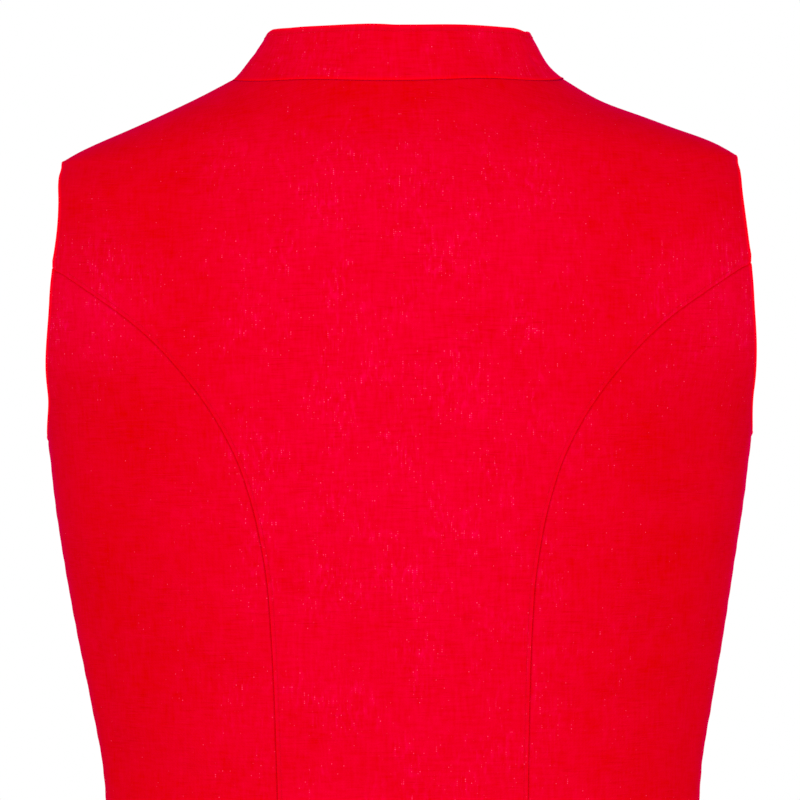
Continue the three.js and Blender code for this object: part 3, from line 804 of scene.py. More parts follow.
def matt_paint(name, colour):
    """Studio floor: roller-painted matt white with a faint mottle."""
    material, tree, output = new_material(name)
    place_on_floor = add_node(tree, "ShaderNodeTexCoord").outputs["Object"]
    values = {"Scale": 40.0, "Detail": 3.0}
    mottle = add_node(tree, "ShaderNodeTexNoise", {}, values, {"Vector": place_on_floor})
    share = ranged(tree, mottle.outputs["Fac"], 0.3, 0.7, 0.0, 1.0)
    values = {"Roughness": 0.9, "Specular IOR Level": 0.1}
    links = {"Base Color": blended(tree, share, colour, "#F6F4F1")}
    return surfaced(material, tree, output, values, links)


# In both linens the edge red is lighter than the cloth: partly rubbed wear, partly a painted
# highlight on turned edges.
# In both linens the seam red is lighter than the cloth: painted light against the shade in the
# seams.
linen = piece_dyed_linen(
    "piece_dyed_linen",
    deep="#B20002",
    bright="#BE0023",
    slub_red="#A60004",
    rubbed_and_lit_edge_red="#DC0014",
    painted_seam_light_red="#D20006",
    thin_red="#C60038",
    pale="#FA588A",
    weave_mm=1.1,
)
button_linen = piece_dyed_linen(
    "button_linen",
    deep="#AC0002",
    bright="#B70020",
    slub_red="#9E0004",
    rubbed_and_lit_edge_red="#C00016",
    painted_seam_light_red="#C00002",
    thin_red="#BE0032",
    pale="#EA5080",
    weave_mm=0.9,
)
thread = polyester_thread("red_sewing_thread", "#BA0012", "#C4001C", "#B20006")

# ---------------------------------------------------------------- the bodice

ROWS = dict(seam=96, armhole=26, shoulder=30)
back_seam = spaced(back_seam_line, ROWS["seam"])
front_seam = spaced(front_seam_line, ROWS["seam"])
side_seam = spaced(side_seam_line, ROWS["seam"])
shoulder = spaced(shoulder_line, ROWS["shoulder"])
back_armhole_top = spaced(armhole_line("back", BACK_TOP_Z, SHOULDER_TIP_Z), ROWS["armhole"])
front_armhole_top = spaced(armhole_line("front", FRONT_TOP_Z, SHOULDER_TIP_Z), ROWS["armhole"])
seam_tracks = {}
seam_lines = (
    ("back", back_seam_line, 480),
    ("front", front_seam_line, 440),
    ("side", side_seam_line, 260),
)
for name, at, steps in seam_lines:
    seam_tracks[f"{name}_left"] = seam_track(spaced(at, steps))
    seam_tracks[f"{name}_right"] = seam_track(mirrored(spaced(at, steps)))
seam_phase = dict(back_left=0.4, back_right=1.9, front_left=2.6)
seam_phase.update(front_right=3.7, side_left=4.4, side_right=5.2)


def sewn_height(points, over=(), under=()):
    """Creases, seam ridges and puckers at these places. The panel's edge lies on top at the seams
    in over, and runs on beneath at those in under."""
    height = crease_height(points)
    lifted = np.zeros(height.shape)
    for seam in over + under:
        distance, along = beside(points, seam_tracks[seam])
        height += pucker(distance, along, seam_phase[seam])
        if seam in over:
            lifted = np.maximum(lifted, ridge(distance))
    return height + lifted


def nearness_to_edges(points, edges, broad=1.0):
    """How near each place is to an edge that is turned and pressed, from 1 at the edge to 0."""
    worn = np.zeros(points.shape[:-1])
    for edge in edges:
        distance, _ = beside(points, edge)
        worn = np.maximum(worn, 1 - smooth((distance - broad) / 0.7))
    return worn


def rolled_edge(points, edges):
    """A turned armhole edge rolls out a little, and its understitching draws a shallow groove."""
    height = np.zeros(points.shape[:-1])
    for edge in edges:
        distance, _ = beside(points, edge)
        height += ROLL["high"] * (1 - smooth((distance - ROLL["wide"]) / 1.2))
        height -= ROLL["groove"] * np.exp(-(((distance - ROLL["groove_at"]) / 0.7) ** 2))
    return height


def painted_light_map(points):
    """Painted light: how much lighter and pinker the cloth is painted, most down the middle and
    over the shoulder blades.
    """
    x, z = np.abs(points[..., 0]), points[..., 2]
    lower, upper = smooth((-z - 250) / 120), smooth((-z - 8) / 50)
    middle = np.exp(-((x / 104) ** 4)) * (1 - 0.3 * lower) * upper
    blades = 1.3 * np.exp(-(((x - 172) / 44) ** 2) - ((z + 124) / 38) ** 2)
    return 0.06 + 0.94 * np.maximum(middle, blades)


def bodice_panel(name, grid, lift, over, under, bulge, seed, armholes, lap=None, lap_edge=()):
    """One panel of the bodice. lap is 1 where its front edge lies on top, and -1 below it."""
    points = place(grid)
    normals = body_normal(grid[..., 0], grid[..., 1])
    height = sewn_height(points, over, under) + lift
    if lap is not None:
        to_centre = (FRONT - np.abs(grid[..., 0])) * -body_point(FRONT, grid[..., 1])[..., 1]
        height = height + lap * LAP["step"] * smooth(1 - (to_centre - LAP["past"]) / LAP["blend"])
    height = height + rolled_edge(points, armholes)
    outer = points + normals * height[..., None]
    # Near the armhole and lap edges the cloth is painted lighter: partly rubbed wear, partly
    # painted highlight.
    rubbed_and_lit_edges = np.maximum(nearness_to_edges(points, armholes, 1.9), nearness_to_edges(points, lap_edge))
    # Along its seams the cloth is painted lighter: painted light against the shade in their
    # grooves.
    sewn = nearness_to_edges(points, [seam_tracks[seam] for seam in over + under], 0.1)
    marks = dict(edge=rubbed_and_lit_edges, seam=sewn, painted_light_share=painted_light_map(points))
    woven = straight_grain(grid, seed)
    return finished(cloth_shell(name, outer, normals, LINEN, bulge, woven, marks), linen)


SEAM_IN = HALF_GAP + SEAM_ROUND  # a sewn edge is drawn in by half the gap and its own rounding
EDGE_IN = LINEN / 2


def fine_patch(left, right, bottom_line, top_line, columns):
    return patch(left, right, spaced(bottom_line, columns), spaced(top_line, columns))


def back_centre():
    columns, across, up = MESH_LINES["back_centre"]
    left = chain(back_seam, back_armhole_top, shoulder)
    waist = waist_line(-back_seam[0, 0], back_seam[0, 0])
    places = fine_patch(mirrored(left), left, waist, neck_line(-SIDE, SIDE), columns)
    grid = respaced(places, across, (SEAM_IN, SEAM_IN))
    grid = crossways(grid, up, (SEAM_IN, SEAM_IN))
    armhole = spaced(armhole_line("back", BACK_TOP_Z, SHOULDER_TIP_Z), 120)
    armholes = [seam_track(armhole), seam_track(mirrored(armhole))]
    flat = np.zeros(grid.shape[:2])
    bulge = (OVER_ROUND, OVER_ROUND, SEAM_ROUND, SEAM_ROUND)
    over = ("back_left", "back_right")
    return bodice_panel("back_centre_cloth", grid, flat, over, (), bulge, 3.0, armholes)


def side_panel(name, turn_sign, back, seed):
    """A back or front side panel, whose princess edge runs on under the centre panel."""
    side = "left" if turn_sign > 0 else "right"
    columns, across, up = MESH_LINES["back_side" if back else "front_side"]
    if back:
        armhole = armhole_line("back", BACK_TOP_Z, UNDERARM_Z)
        waist = waist_line(back_seam[0, 0], SIDE)
        places = fine_patch(back_seam, side_seam, waist, armhole, columns)
    else:
        armhole = armhole_line("front", UNDERARM_Z, FRONT_TOP_Z)
        waist = waist_line(SIDE, front_seam[0, 0])
        places = fine_patch(side_seam, front_seam, waist, armhole, columns)
    grid = respaced(places, across, (0.1, SEAM_IN if back else 0.1))
    grid = crossways(grid, up, (SEAM_IN, EDGE_IN))
    grid, lift = tucked(grid, np.zeros(grid.shape[:2]), "left", 2.0 if back else 0.0)
    if not back:
        grid, lift = tucked(grid, lift, "right", 2.0)
    edge = spaced(armhole, 200)
    if turn_sign < 0:
        grid, lift, edge = mirrored(grid)[:, ::-1], lift[:, ::-1], mirrored(edge)
    over = (f"side_{side}",) if back else ()
    under = (f"back_{side}",) if back else (f"side_{side}", f"front_{side}")
    bulge = (SEAM_ROUND, SEAM_ROUND, SEAM_ROUND, EDGE_IN)
    return bodice_panel(name, grid, lift, over, under, bulge, seed, [seam_track(edge)])


def front_centre(name, turn_sign, over_lap, seed):
    """A front panel, from its princess seam to the lap past centre front."""
    side = "left" if turn_sign > 0 else "right"
    columns, across, up = MESH_LINES["front_centre"]
    outer_edge = chain(front_seam, front_armhole_top, shoulder)
    t = np.linspace(0, 1, len(outer_edge))
    lap_edge = lap_line(t * (1.35 - 0.35 * t))
    waist = waist_line(front_seam[0, 0], lap_edge[0, 0])
    places = fine_patch(outer_edge, lap_edge, waist, neck_line(SIDE, lap_edge[-1, 0]), columns)
    # The last rows below the shoulder tip fan out evenly, so that none crosses the next.
    tip = len(front_seam) + len(front_armhole_top) - 2
    fan = slice(tip - FAN_ROWS, tip + 1)
    evenly = np.linspace(0, 1, FAN_ROWS + 1)[:, None, None]
    fanned = mix(places[tip - FAN_ROWS], places[tip], evenly)
    from_edge = smooth(np.arange(columns + 1) / 10)[None, :, None]
    places[fan] = mix(places[fan], fanned, from_edge)
    grid = respaced(places, across, (SEAM_IN, EDGE_IN))
    grid = crossways(grid, up, (SEAM_IN, SEAM_IN))
    edges = [spaced(armhole_line("front", FRONT_TOP_Z, SHOULDER_TIP_Z), 120), lap_edge]
    bulge = (OVER_ROUND, EDGE_IN, SEAM_ROUND, SEAM_ROUND)
    if turn_sign < 0:
        grid = mirrored(grid)[:, ::-1]
        edges = [mirrored(edge) for edge in edges]
        bulge = (EDGE_IN, OVER_ROUND, SEAM_ROUND, SEAM_ROUND)
    armhole, lap_track = [seam_track(edge) for edge in edges]
    flat = np.zeros(grid.shape[:2])
    over = (f"front_{side}",)
    return bodice_panel(
        name, grid, flat, over, (), bulge, seed, [armhole], lap=over_lap, lap_edge=[lap_track]
    )


pieces = {
    "back_centre": back_centre(),
    "back_side_left": side_panel("back_side_left_cloth", 1, True, 17.0),
    "back_side_right": side_panel("back_side_right_cloth", -1, True, 29.0),
    "front_side_left": side_panel("front_side_left_cloth", 1, False, 41.0),
    "front_side_right": side_panel("front_side_right_cloth", -1, False, 53.0),
    "front_centre_left": front_centre("front_centre_left_cloth", 1, -1, 67.0),
    "front_centre_right": front_centre("front_centre_right_cloth", -1, 1, 79.0),
}


def shoulder_allowance(name, turn_sign, seed):
    """The shoulder seam's allowances, pressed open inside and lying along under the seam."""
    z = mix(SHOULDER_TIP_Z, 0, np.linspace(0.03, 0.95, 60))[:, None]
    across = np.linspace(-ALLOWANCE["half_wide"], ALLOWANCE["half_wide"], 9)[None]
    turn = SIDE + across / section["half"](z)
    grid = line(turn_sign * turn[:, :: int(turn_sign)], z)
    points = place(grid)
    normals = body_normal(grid[..., 0], grid[..., 1])
    height = crease_height(points) - LINEN - ALLOWANCE["under"]
    outer = points + normals * height[..., None]
    marks = dict(edge=0.0, seam=0.0, painted_light_share=0.3)
    woven = straight_grain(grid, seed)
    bulge = (0.3, 0.3, 0.3, 0.3)
    piece = cloth_shell(name, outer, normals, ALLOWANCE["thick"], bulge, woven, marks)
    return finished(piece, linen)


allowances = [
    shoulder_allowance("shoulder_allowance_left", 1, 5.0),
    shoulder_allowance("shoulder_allowance_right", -1, 7.0),
]

# ---------------------------------------------------------------- the collar

neck_front_depth = -float(body_point(FRONT, -NECK_FRONT_DROP)[1])
collar_end = FRONT - COLLAR["end_gap"] / neck_front_depth
collar_top = column_curve(COLLAR_TOP, "side", "up")


def collar_frame(turn):
    """The neck seam's place at a turn, and its ways along, outward and up the band."""
    behind, foot, ahead = [body_point(at, neck_drop(at)) for at in (turn - 0.02, turn, turn + 0.02)]
    along = unit(ahead - behind)
    outward = unit(np.stack([along[..., 1], -along[..., 0], np.zeros(turn.shape)], axis=-1))
    facing = np.sum(outward * foot * np.array([1, 1, 0]), axis=-1, keepdims=True)
    outward = np.where(facing < 0, -outward, outward)
    up = unit(np.array([0, 0, 1.0]) - along * along[..., 2:3])
    return foot, along, outward, up


def collar_point(turn, share, off):
    """A place on the stand band. share runs from its seam to its top edge, and is below 0 inside
    the neck."""
    foot, _, outward, up = collar_frame(turn)
    sideways = np.sin(turn) ** 2
    back = foot[..., 1] > 0
    lean = np.where(back, COLLAR_LEAN["back"], COLLAR_LEAN["front"])
    lean = mix(lean, COLLAR_LEAN["side"], sideways)
    to_end = (collar_end - np.abs(turn)) * neck_front_depth
    short = np.clip(COLLAR["corner"] - to_end, 0, COLLAR["corner"])
    rounding = COLLAR["corner"] - np.sqrt(COLLAR["corner"] ** 2 - short**2)
    height = mix(COLLAR["rise"], COLLAR["back_rise"], np.where(back, 1 - sideways, 0)) - rounding
    at_side = collar_top(np.sign(turn)) * smooth((np.abs(np.sin(turn)) - 0.75) / 0.25)
    height = height + np.where(back, collar_top(np.sin(turn)), at_side)
    held = np.clip(share, 0, 1)
    bend = COLLAR["rise"] * lean * held**0.75
    rise = np.where(share >= 0, height * share, 5.0 * share)
    lifted = foot + up * rise[..., None] + outward * (off - bend)[..., None]
    return lifted + np.array([0, 0, 0.3])


def collar_relief(turn, share):
    """The band isn't quite flat: its top edge stands up, and its middle has a pressed line."""
    z_up = share * COLLAR["rise"]
    top = 0.25 * smooth((z_up - 22.5) / 2.0)
    pressed = -0.28 * np.exp(-(((z_up - 15.0) / 1.6) ** 2)) * (0.6 + 0.4 * np.sin(turn * 5 + 1))
    sway = 0.35 * np.sin(turn * 9 + 0.7) * np.sin(share * 2.4)
    sway = sway + 0.2 * np.sin(turn * 23 + 2) * np.sin(share * 3)
    dent = -1.7 * np.exp(-(((turn + 1.2) * 82 / 3.0) ** 2) - ((z_up - 11) / 3.0) ** 2)
    hollow = -1.2 * np.exp(-(((turn + 1.5) / 0.35) ** 2) - ((z_up - 8) / 7) ** 2)
    eased = -1.5 * np.exp(-(((turn - 1.45) / 0.4) ** 2)) * smooth((share - 0.25) / 0.7)
    return np.where(share > 0, top + pressed + sway * 0.5 + dent + hollow + eased, 0)


def collar():
    run = np.linspace(-collar_end, collar_end, 2400)
    lengths = lengths_along(collar_point(run, np.zeros(run.shape), np.zeros(run.shape)))
    near = np.array([0, 0.5, 1.1, 1.9, 2.9, 4.1, 5.5, 7.2])
    middle = np.linspace(9, lengths[-1] - 9, 190)
    wanted = np.concatenate([near + 0.8, middle, lengths[-1] - 0.8 - near[::-1]])
    turns = np.interp(wanted, lengths, run)
    shares = [-1.0, -0.35, -0.04, 0.0, 0.03, 0.08, 0.16, 0.26, 0.36, 0.46, 0.5, 0.54, 0.58]
    shares += [0.66, 0.74, 0.8, 0.84, 0.88, 0.92, 0.95, 0.97]
    turn, share = np.meshgrid(turns, shares)
    sunk = np.interp(share, [-1, -0.35, -0.04, 0.0, 0.05], [-1.35, -1.35, -0.9, -0.25, 0])
    outer = collar_point(turn, share, sunk + collar_relief(turn, share))
    _, _, outward, _ = collar_frame(turn)
    across = np.broadcast_to(wanted, turn.shape)
    cloth = np.stack([across, share * COLLAR["rise"], np.full(turn.shape, 91.0)], axis=-1)
    # The band's top edge is painted lighter: partly rubbed wear, partly painted highlight.
    edge = smooth((share - 0.94) / 0.03)
    # Along the neck seam the band is painted lighter: painted light against the seam's shade.
    seam = 1 - smooth((np.abs(share) - 0.012) / 0.03)
    marks = dict(edge=edge, seam=seam, painted_light_share=0.6)
    bulge = (0.8, 0.8, 0.3, 0.85)
    piece = cloth_shell("collar_cloth", outer, outward, COLLAR_CLOTH, bulge, cloth, marks)
    return finished(piece, linen)


pieces["collar"] = collar()

# ---------------------------------------------------------------- the skirt

CUTS = {
    "collar": dict(flat=(0.40, 0.045), held="stretched"),
    "back_centre": dict(flat=(0.42, 0.43), area=0.112, held="hung"),
    "back_side_left": dict(flat=(0.16, 0.32), area=0.043, held="hung"),
    "back_side_right": dict(flat=(0.16, 0.32), area=0.043, held="hung"),
    "front_side_left": dict(flat=(0.17, 0.31), area=0.045, held="hung"),
    "front_side_right": dict(flat=(0.17, 0.31), area=0.045, held="hung"),
    "front_centre_left": dict(flat=(0.23, 0.43), area=0.058, held="hung"),
    "front_centre_right": dict(flat=(0.23, 0.43), area=0.058, held="hung"),
    "skirt_back": dict(flat=(1.45, 0.71), held="gathered"),
    "skirt_front_left": dict(flat=(0.73, 0.71), held="gathered"),
    "skirt_front_right": dict(flat=(0.73, 0.71), held="gathered"),
}

FOLDS_PER_QUARTER = SKIRT["folds"] // 4
STEPS_PER_FOLD = 16
skirt_level = {name: column_curve(SKIRT_LEVELS, "drop", name) for name in (*RING, "fold")}


def fold_start(k):
    uneven = np.where(k % FOLDS_PER_QUARTER == 0, 0, 0.2 * np.sin(2.3 * k + 0.5))
    return (k + uneven) / SKIRT["folds"] * 2 * math.pi


def fold_depth(k, share):
    return 1 + 0.28 * np.sin(1.7 * k + 2) + 0.3 * share * np.sin(2.9 * k + 1)


FOLD_STARTS = fold_start(np.arange(SKIRT["folds"] + 1))


def skirt_point(from_front, drop):
    """A place on the gathered skirt: its angle from centre front and its depth below the waist."""
    from_front, drop = np.broadcast_arrays(from_front, np.asarray(drop, float))
    turned = np.mod(from_front, 2 * math.pi)
    phase = np.interp(turned, FOLD_STARTS, np.arange(SKIRT["folds"] + 1))
    k = np.minimum(np.floor(phase), SKIRT["folds"] - 1)
    part = phase - k
    share = drop / SKIRT["length"]
    crest = np.sin(math.pi * part) ** 2
    fold = skirt_level["fold"](drop)
    wave = fold * (2 * fold_depth(k, share) * crest - 1)
    # Hand-drawn gathers stand close under the waist and fade. Lesser folds open towards the hem.
    uneven = 1.6 * np.sin(phase * math.pi / 3)
    gathers = np.exp(-drop / 34) * np.sin(phase * 6 * math.pi + uneven)
    lesser = 3.2 * smooth(drop / 320 - 0.25) * crest * np.sin(4 * math.pi * part + 1.3 * k)
    slack = 1.5 * smooth(drop / 120) * np.sin(drop / 67 + 2.4 * k) * np.sin(math.pi * part)
    from_centre = np.minimum(turned, 2 * math.pi - turned)
    in_pleat = np.exp(-((from_centre / SKIRT["pleat_width"]) ** 2))
    pleat = SKIRT["pleat_depth"] * smooth(drop / 40) * in_pleat
    base = [skirt_level[name](drop) for name in RING]
    radius = ring_radius(FRONT + from_front, *base) + wave + gathers + lesser + slack - pleat
    # A fold wanders sideways as it falls, but not at the panels' seams.
    quarter = np.mod(phase, FOLDS_PER_QUARTER) / FOLDS_PER_QUARTER
    free = smooth(4 * quarter) * smooth(4 - 4 * quarter)
    wander = 0.011 * smooth(drop / 160) * np.sin(drop / 143 + 0.9 * phase) * free
    turn = FRONT + from_front + wander
    return np.stack([radius * np.sin(turn), radius * np.cos(turn), WAIST_Z - 0.4 - drop], axis=-1)


def level_normals(points):
    """Level normals of rows of places that run round the skirt, pointing away from its middle."""
    run = np.gradient(points, axis=-2)
    normals = unit(np.stack([run[..., 1], -run[..., 0], np.zeros(run.shape[:-1])], axis=-1))
    facing = np.sum(normals * points * np.array([1, 1, 0]), axis=-1, keepdims=True)
    return np.where(facing < 0, -normals, normals)


def skirt_panel(name, first, last, seed, under):
    """One skirt panel. under says whether its first and last edges run on under the next panel."""
    steps = (last - first) * STEPS_PER_FOLD
    start, end = FOLD_STARTS[first], FOLD_STARTS[last]
    reach = 300.0  # the hem's radius, by which lengths at the hem are turned into angles
    near = NEAR / reach
    inset = SEAM_IN / reach
    inner = np.linspace(start + inset + near[-1], end - inset - near[-1], steps)
    around = np.concatenate([start + inset + near[:-1], inner, (end - inset - near[:-1])[::-1]])
    sink = np.zeros(len(around))
    extra = TUCK_STEPS / reach
    if under[0]:
        sink[:3] = TUCK_PROFILE
        around = np.concatenate([around[0] - extra[::-1], around])
        sink = np.concatenate([np.ones(len(extra)), sink])
    if under[1]:
        sink[-3:] = TUCK_PROFILE[::-1]
        around = np.concatenate([around, around[-1] + extra])
        sink = np.concatenate([sink, np.ones(len(extra))])
    gathered, falling = np.linspace(15, 120, 16), np.linspace(132, 688, 44)
    top, hem_edge = [0, 1.5, 3.5, 6.5, 10], [695, 698.2, 699.6]
    drops = np.concatenate([top, gathered, falling, hem_edge])[::-1]
    outer = skirt_point(around[None], drops[:, None])
    normals = level_normals(outer)
    hem = HEM["ridge"] * smooth((drops - SKIRT["length"] + HEM["turned_up"]) / 3)[:, None, None]
    outer = outer + normals * (hem - TUCK * sink[None, :, None])
    # The top runs up inside the bodice, where the seam holds it.
    held = ring_radius(FRONT + around, *[section[part](WAIST_Z) for part in RING])
    for up, deep in ((1.6, 1.35), (6.0, 1.5)):
        radius = held - deep - TUCK * sink
        level = np.full(radius.shape, WAIST_Z + up)
        row = [radius * np.sin(FRONT + around), radius * np.cos(FRONT + around), level]
        outer = np.concatenate([outer, np.stack(row, axis=-1)[None]])
    normals = level_normals(outer)
    flat_width = 1000 * CUTS["skirt_back"]["flat"][0] / (2 * FOLDS_PER_QUARTER)
    fold = np.interp(np.mod(around, 2 * math.pi), FOLD_STARTS, np.arange(SKIRT["folds"] + 1))
    across = np.broadcast_to(fold * flat_width, outer.shape[:2])
    cloth = np.stack([across, -outer[..., 2], np.full(across.shape, seed)], axis=-1)
    to_hem = outer[..., 2] - (WAIST_Z - 0.4 - SKIRT["length"])
    # The hem's edge is painted lighter: partly rubbed wear, partly painted highlight.
    marks = dict(edge=1 - smooth((to_hem - 0.3) / 1.2), seam=0.0, painted_light_share=0.45)
    bulge = (SEAM_ROUND, SEAM_ROUND, 0.45, 0.2)
    return finished(cloth_shell(name, outer, normals, LINEN, bulge, cloth, marks), linen)


# Each skirt panel's first and last fold, counted from centre front, the place of its cloth in the
# weave's pattern, and whether its two edges run on under the next panel.
SIDE_FOLDS = (FOLDS_PER_QUARTER, 3 * FOLDS_PER_QUARTER)
SKIRT_PANELS = {
    "front_right": (0, SIDE_FOLDS[0], 103.0, (False, False)),
    "back": (*SIDE_FOLDS, 127.0, (True, True)),
    "front_left": (SIDE_FOLDS[1], SKIRT["folds"], 139.0, (False, True)),
}
for part, cut in SKIRT_PANELS.items():
    pieces[f"skirt_{part}"] = skirt_panel(f"skirt_{part}_cloth", *cut)

# ---------------------------------------------------------------- stitches


def stitch_row(name, points, normals, length=2.9, pitch=3.2, radius=0.16, lift=0.02):
    """Topstitching along a line of points, as small lozenges of thread half sunk in the cloth."""
    run = lengths_along(points)
    count = int(run[-1] // pitch)
    middles = (np.arange(count) + 0.5) * pitch
    columns = ((middles, points), (middles + 0.4, points), (middles, normals))
    at, ahead, up = [
        np.stack([np.interp(wanted, run, values[:, c]) for c in range(3)], axis=-1)
        for wanted, values in columns
    ]
    up = unit(up)
    along = unit(ahead - at)
    across = unit(np.cross(along, up))
    lean = 0.1 * np.sin(np.arange(count) * 2.7)[:, None]
    along = unit(along + across * lean)
    sides = 6
    stations = np.array([-1, -0.82, -0.7, 0.7, 0.82, 1])
    girth = np.array([1.1, 1.1, 1, 1, 1.1, 1.1])
    sink = np.array([-0.85, -0.75, 0, 0, -0.75, -0.85])
    # The thread's ends, down in the needle holes, get painted shade.
    hidden = np.array([1, 0.9, 0, 0, 0.9, 1])
    angle = np.arange(sides) * 2 * math.pi / sides
    body = []
    for station, wide, low in zip(stations, girth * radius, sink * radius):
        centre = at + along * station * length / 2 + up * (lift + low)
        ring = [centre + across * math.cos(a) * wide + up * math.sin(a) * wide for a in angle]
        body.append(np.stack(ring, axis=1))
    vertices = np.stack(body, axis=1).reshape(-1, 3)
    per = len(stations) * sides
    ends = [list(range(sides))[::-1], list(range(per - sides, per))]
    quads = np.array(ring_faces(len(stations), sides))[None]
    starts = np.arange(count) * per
    faces = (quads + starts[:, None, None]).reshape(-1, 4).tolist()
    faces += (np.array(ends)[None] + starts[:, None, None]).reshape(-1, sides).tolist()
    local = np.tile(np.repeat(stations * length, sides), count)
    turnings = np.tile(np.tile(angle, len(stations)), count)
    attributes = [
        ("cloth", "FLOAT_VECTOR", np.stack([local, turnings, local * 0], axis=-1)),
        ("needle_hole_shade", "FLOAT", np.tile(np.repeat(hidden, sides), count)),
    ]
    return finished(new_object(name, vertices, faces, attributes), thread)


def offset_line(at, towards, apart):
    """Places beside a line, this far towards the given turn along the cloth."""
    points = place(at)
    shifted = line(at[:, 0] + np.sign(towards - at[:, 0]) * 0.01, at[:, 1])
    step = place(shifted) - points
    edge = unit(np.gradient(points, axis=0))
    square = step - edge * np.sum(step * edge, axis=-1, keepdims=True)
    gain = apart / np.linalg.norm(square, axis=-1)
    return line(at[:, 0] + np.sign(towards - at[:, 0]) * 0.01 * gain, at[:, 1])


def seam_stitches(name, seam, towards, over, apart=2.3, lap=None):
    at = offset_line(seam[1:-1], towards, apart)
    points = place(at)
    normals = body_normal(at[:, 0], at[:, 1])
    height = sewn_height(points, over)
    if lap is not None:
        height = height + lap * LAP["step"]
    return stitch_row(name, points + normals * height[:, None], normals)


for part, seam, middle in (("back", back_seam, 0), ("front", front_seam, FRONT)):
    for side, at, towards in (("left", seam, middle), ("right", mirrored(seam), -middle)):
        row = f"{part}_{side}"
        seam_stitches(f"stitches_{row}", at, towards, (row,))
lap_edge_line = lap_line(np.linspace(0.004, 0.985, 160))
seam_stitches("stitches_lap_edge", mirrored(lap_edge_line), -SIDE, (), 5.0, 1)


def collar_stitches():
    turns = np.linspace(-collar_end + 0.055, collar_end - 0.055, 900)
    share = np.full(turns.shape, 1 - 3.2 / COLLAR["rise"])
    points = collar_point(turns, share, collar_relief(turns, share))
    _, _, outward, _ = collar_frame(turns)
    return stitch_row("stitches_collar_top", points, outward)


def hem_stitches(name, first, last):
    around = np.linspace(FOLD_STARTS[first] + 0.004, FOLD_STARTS[last] - 0.004, (last - first) * 60)
    points = skirt_point(around, SKIRT["length"] - HEM["stitched_up"])
    return stitch_row(name, points, level_normals(points), length=2.9, pitch=3.6)


collar_stitches()
for part, (first, last, *_) in SKIRT_PANELS.items():
    hem_stitches(f"stitches_hem_{part}", first, last)

# ---------------------------------------------------------------- buttons and buttonholes


def covered_button(name, z):
    """A dome covered in the dress's linen, gathered in under its rim."""
    normal = body_normal(FRONT, z)
    seat = body_point(FRONT, z) + normal * (LAP["step"] + BUTTON["clear"])
    across = np.array([1.0, 0, 0])
    upward = unit(np.cross(normal, across))
    r, h = BUTTON["radius"], BUTTON["height"]
    # Shares of the radius and height, from the shank up over the dome.
    profile = [(0.3, -0.26), (0.26, 0.06), (0.55, 0.1), (0.84, 0.12), (0.95, 0.2), (1.0, 0.32)]
    profile += [(0.985, 0.46), (0.93, 0.62), (0.82, 0.77), (0.64, 0.89), (0.42, 0.96), (0.2, 0.99)]
    sides = 48
    angle = np.arange(sides) * 2 * math.pi / sides
    points, cloth = [], []
    for out, rise in profile:
        gathered = 1 + 0.012 * np.sin(angle * 12) * smooth((0.5 - rise) / 0.3)
        ring = out * r * gathered
        x, y = np.cos(angle) * ring, np.sin(angle) * ring
        points.append(seat + across * x[:, None] + upward * y[:, None] + normal * rise * h)
        cloth.append(np.stack([x, y + rise * h, np.full(sides, z)], axis=-1))
    points = np.concatenate(points + [[seat + normal * profile[0][1] * h, seat + normal * h]])
    cloth = np.concatenate(cloth + [[[0, 0, z], [0, h, z]]])
    rings = len(profile)
    faces = ring_faces(rings, sides)
    for a in range(sides):
        b = (a + 1) % sides
        faces.append([rings * sides, b, a])
        faces.append([rings * sides + 1, (rings - 1) * sides + a, (rings - 1) * sides + b])
    painted_light_share = np.full(len(points), 0.5)
    attributes = [("cloth", "FLOAT_VECTOR", cloth), ("painted_light_share", "FLOAT", painted_light_share)]
    piece = new_object(name, points, faces, attributes)
    piece.data.materials.append(button_linen)
    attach(piece, "root")
    return piece


button_heights = np.linspace(BUTTON["first_z"], BUTTON["last_z"], BUTTON["count"])
for number, z in enumerate(button_heights, start=1):
    button = covered_button(f"covered_button_{number}", z)
    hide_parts(f"button_{number}")


def buttonhole_stitches():
    """Close upright stitches on both lips of each level buttonhole, beside its button."""
    sides = 6
    points, faces, local = [], [], []
    for z in button_heights:
        depth = -float(body_point(FRONT, z)[1])
        turn = -(FRONT - np.array([BUTTONHOLE["far"], BUTTONHOLE["near"]]) / depth)
        for lip in (BUTTONHOLE["lip"], -BUTTONHOLE["lip"]):
            at = line(turn, z + lip)
            normal = body_normal(at[:, 0], at[:, 1])
            height = crease_height(place(at)) + LAP["step"]
            row = place(at) + normal * height[:, None]
            along = unit(row[1] - row[0])
            for s in np.linspace(0, 1, BUTTONHOLE["stitches"]):
                base = mix(row[0], row[1], s)
                up = mix(normal[0], normal[1], s)
                across = unit(np.cross(up, along))
                start = len(points)
                for station, wide in ((-1.0, 0.3), (-0.6, 1.0), (0.6, 1.0), (1.0, 0.3)):
                    for a in range(sides):
                        angle = a * math.pi / 3
                        thick = BUTTONHOLE["thread"] * wide
                        off = along * math.cos(angle) * thick
                        off = off + up * (math.sin(angle) * thick + 0.05)
                        points.append(base + across * station * BUTTONHOLE["stitch_half"] + off)
                        local.append([station, angle, 0.0])
                faces += ring_faces(4, sides, start)
                faces.append([start + a for a in range(sides)][::-1])
                faces.append([start + 3 * sides + a for a in range(sides)])
    attributes = [("cloth", "FLOAT_VECTOR", local)]
    return finished(new_object("buttonhole_stitches", points, faces, attributes), thread)


buttonholes = buttonhole_stitches()

# ---------------------------------------------------------------- the model's parts that the pieces replace are hidden

for node, piece in pieces.items():
    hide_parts(node)

# ---------------------------------------------------------------- studio

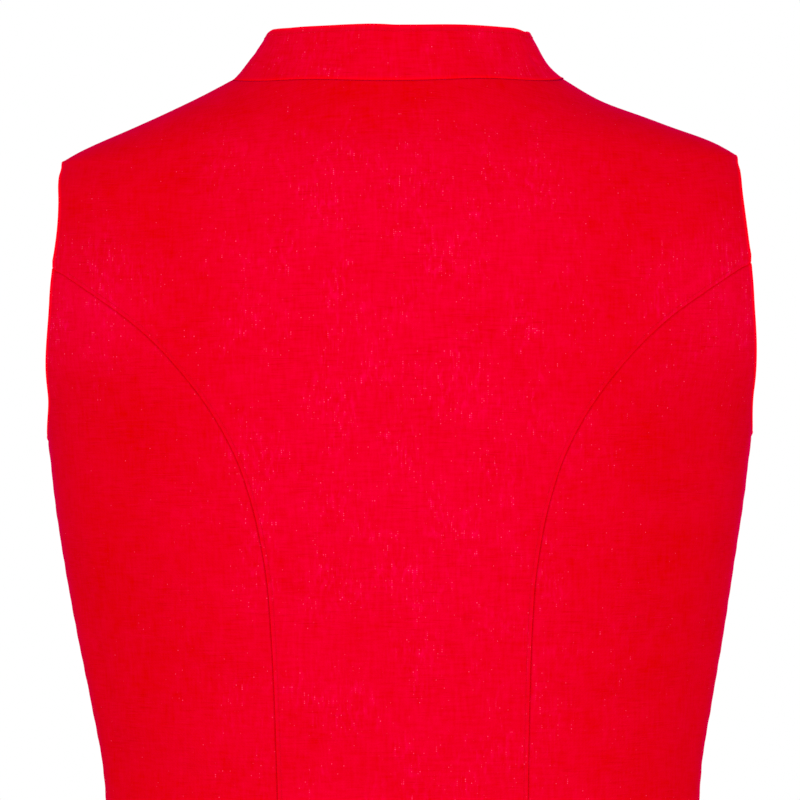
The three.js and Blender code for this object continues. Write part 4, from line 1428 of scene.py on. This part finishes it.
floor_mesh = bpy.data.meshes.new("studio_floor")
reach = 9.0
corners = ((-reach, -reach), (reach, -reach), (reach, reach), (-reach, reach))
floor_mesh.from_pydata([(x, y, FLOOR_Z / 1000) for x, y in corners], [], [(0, 1, 2, 3)])
floor = bpy.data.objects.new("studio_floor", floor_mesh)
floor_mesh.materials.append(matt_paint("matt_floor_paint", "#F3F1EE"))
bpy.context.scene.collection.objects.link(floor)

world = bpy.data.worlds.new("studio_white")
world.use_nodes = True
world.node_tree.nodes["Background"].inputs["Color"].default_value = (1, 1, 1, 1)
world.node_tree.nodes["Background"].inputs["Strength"].default_value = 1.0
bpy.context.scene.world = world
bpy.context.scene.view_settings.view_transform = "Standard"
bpy.context.scene.view_settings.look = "None"


LIGHT_SPREAD = 12.0  # degrees


def broad_light(name, towards, strength):
    """A wide bank of diffused light, so far off that it falls evenly from top to hem."""
    light = bpy.data.lights.new(name, "SUN")
    light.energy = strength
    light.angle = math.radians(LIGHT_SPREAD)
    holder = bpy.data.objects.new(name, light)
    holder.rotation_euler = Vector(towards).to_track_quat("-Z", "Y").to_euler()
    bpy.context.scene.collection.objects.link(holder)


broad_light("back_light_bank", (-0.02, -1, -0.07), 1.8)
broad_light("back_left_bank", (-0.82, -0.57, -0.07), 0.8)
broad_light("back_right_bank", (0.82, -0.57, -0.07), 0.8)
broad_light("front_light_bank", (0.3, 1, -0.07), 2.6)

CAMERA_AWAY = 3.0
CAMERA_Z = -0.176
CAMERA_ROLL = -0.4  # degrees
FRAME_WIDE = 0.44
SENSOR_MM = 36
camera_data = bpy.data.cameras.new("camera")
camera_data.sensor_width = SENSOR_MM
camera_data.lens = SENSOR_MM * CAMERA_AWAY / FRAME_WIDE
camera = bpy.data.objects.new("camera", camera_data)
level = Vector((0, -1, 0)).to_track_quat("-Z", "Y").to_matrix().to_4x4()
roll = Matrix.Rotation(math.radians(CAMERA_ROLL), 4, "Z")
camera.matrix_world = Matrix.Translation((0, CAMERA_AWAY, CAMERA_Z)) @ level @ roll
bpy.context.scene.collection.objects.link(camera)
bpy.context.scene.camera = camera

bpy.context.view_layer.update()
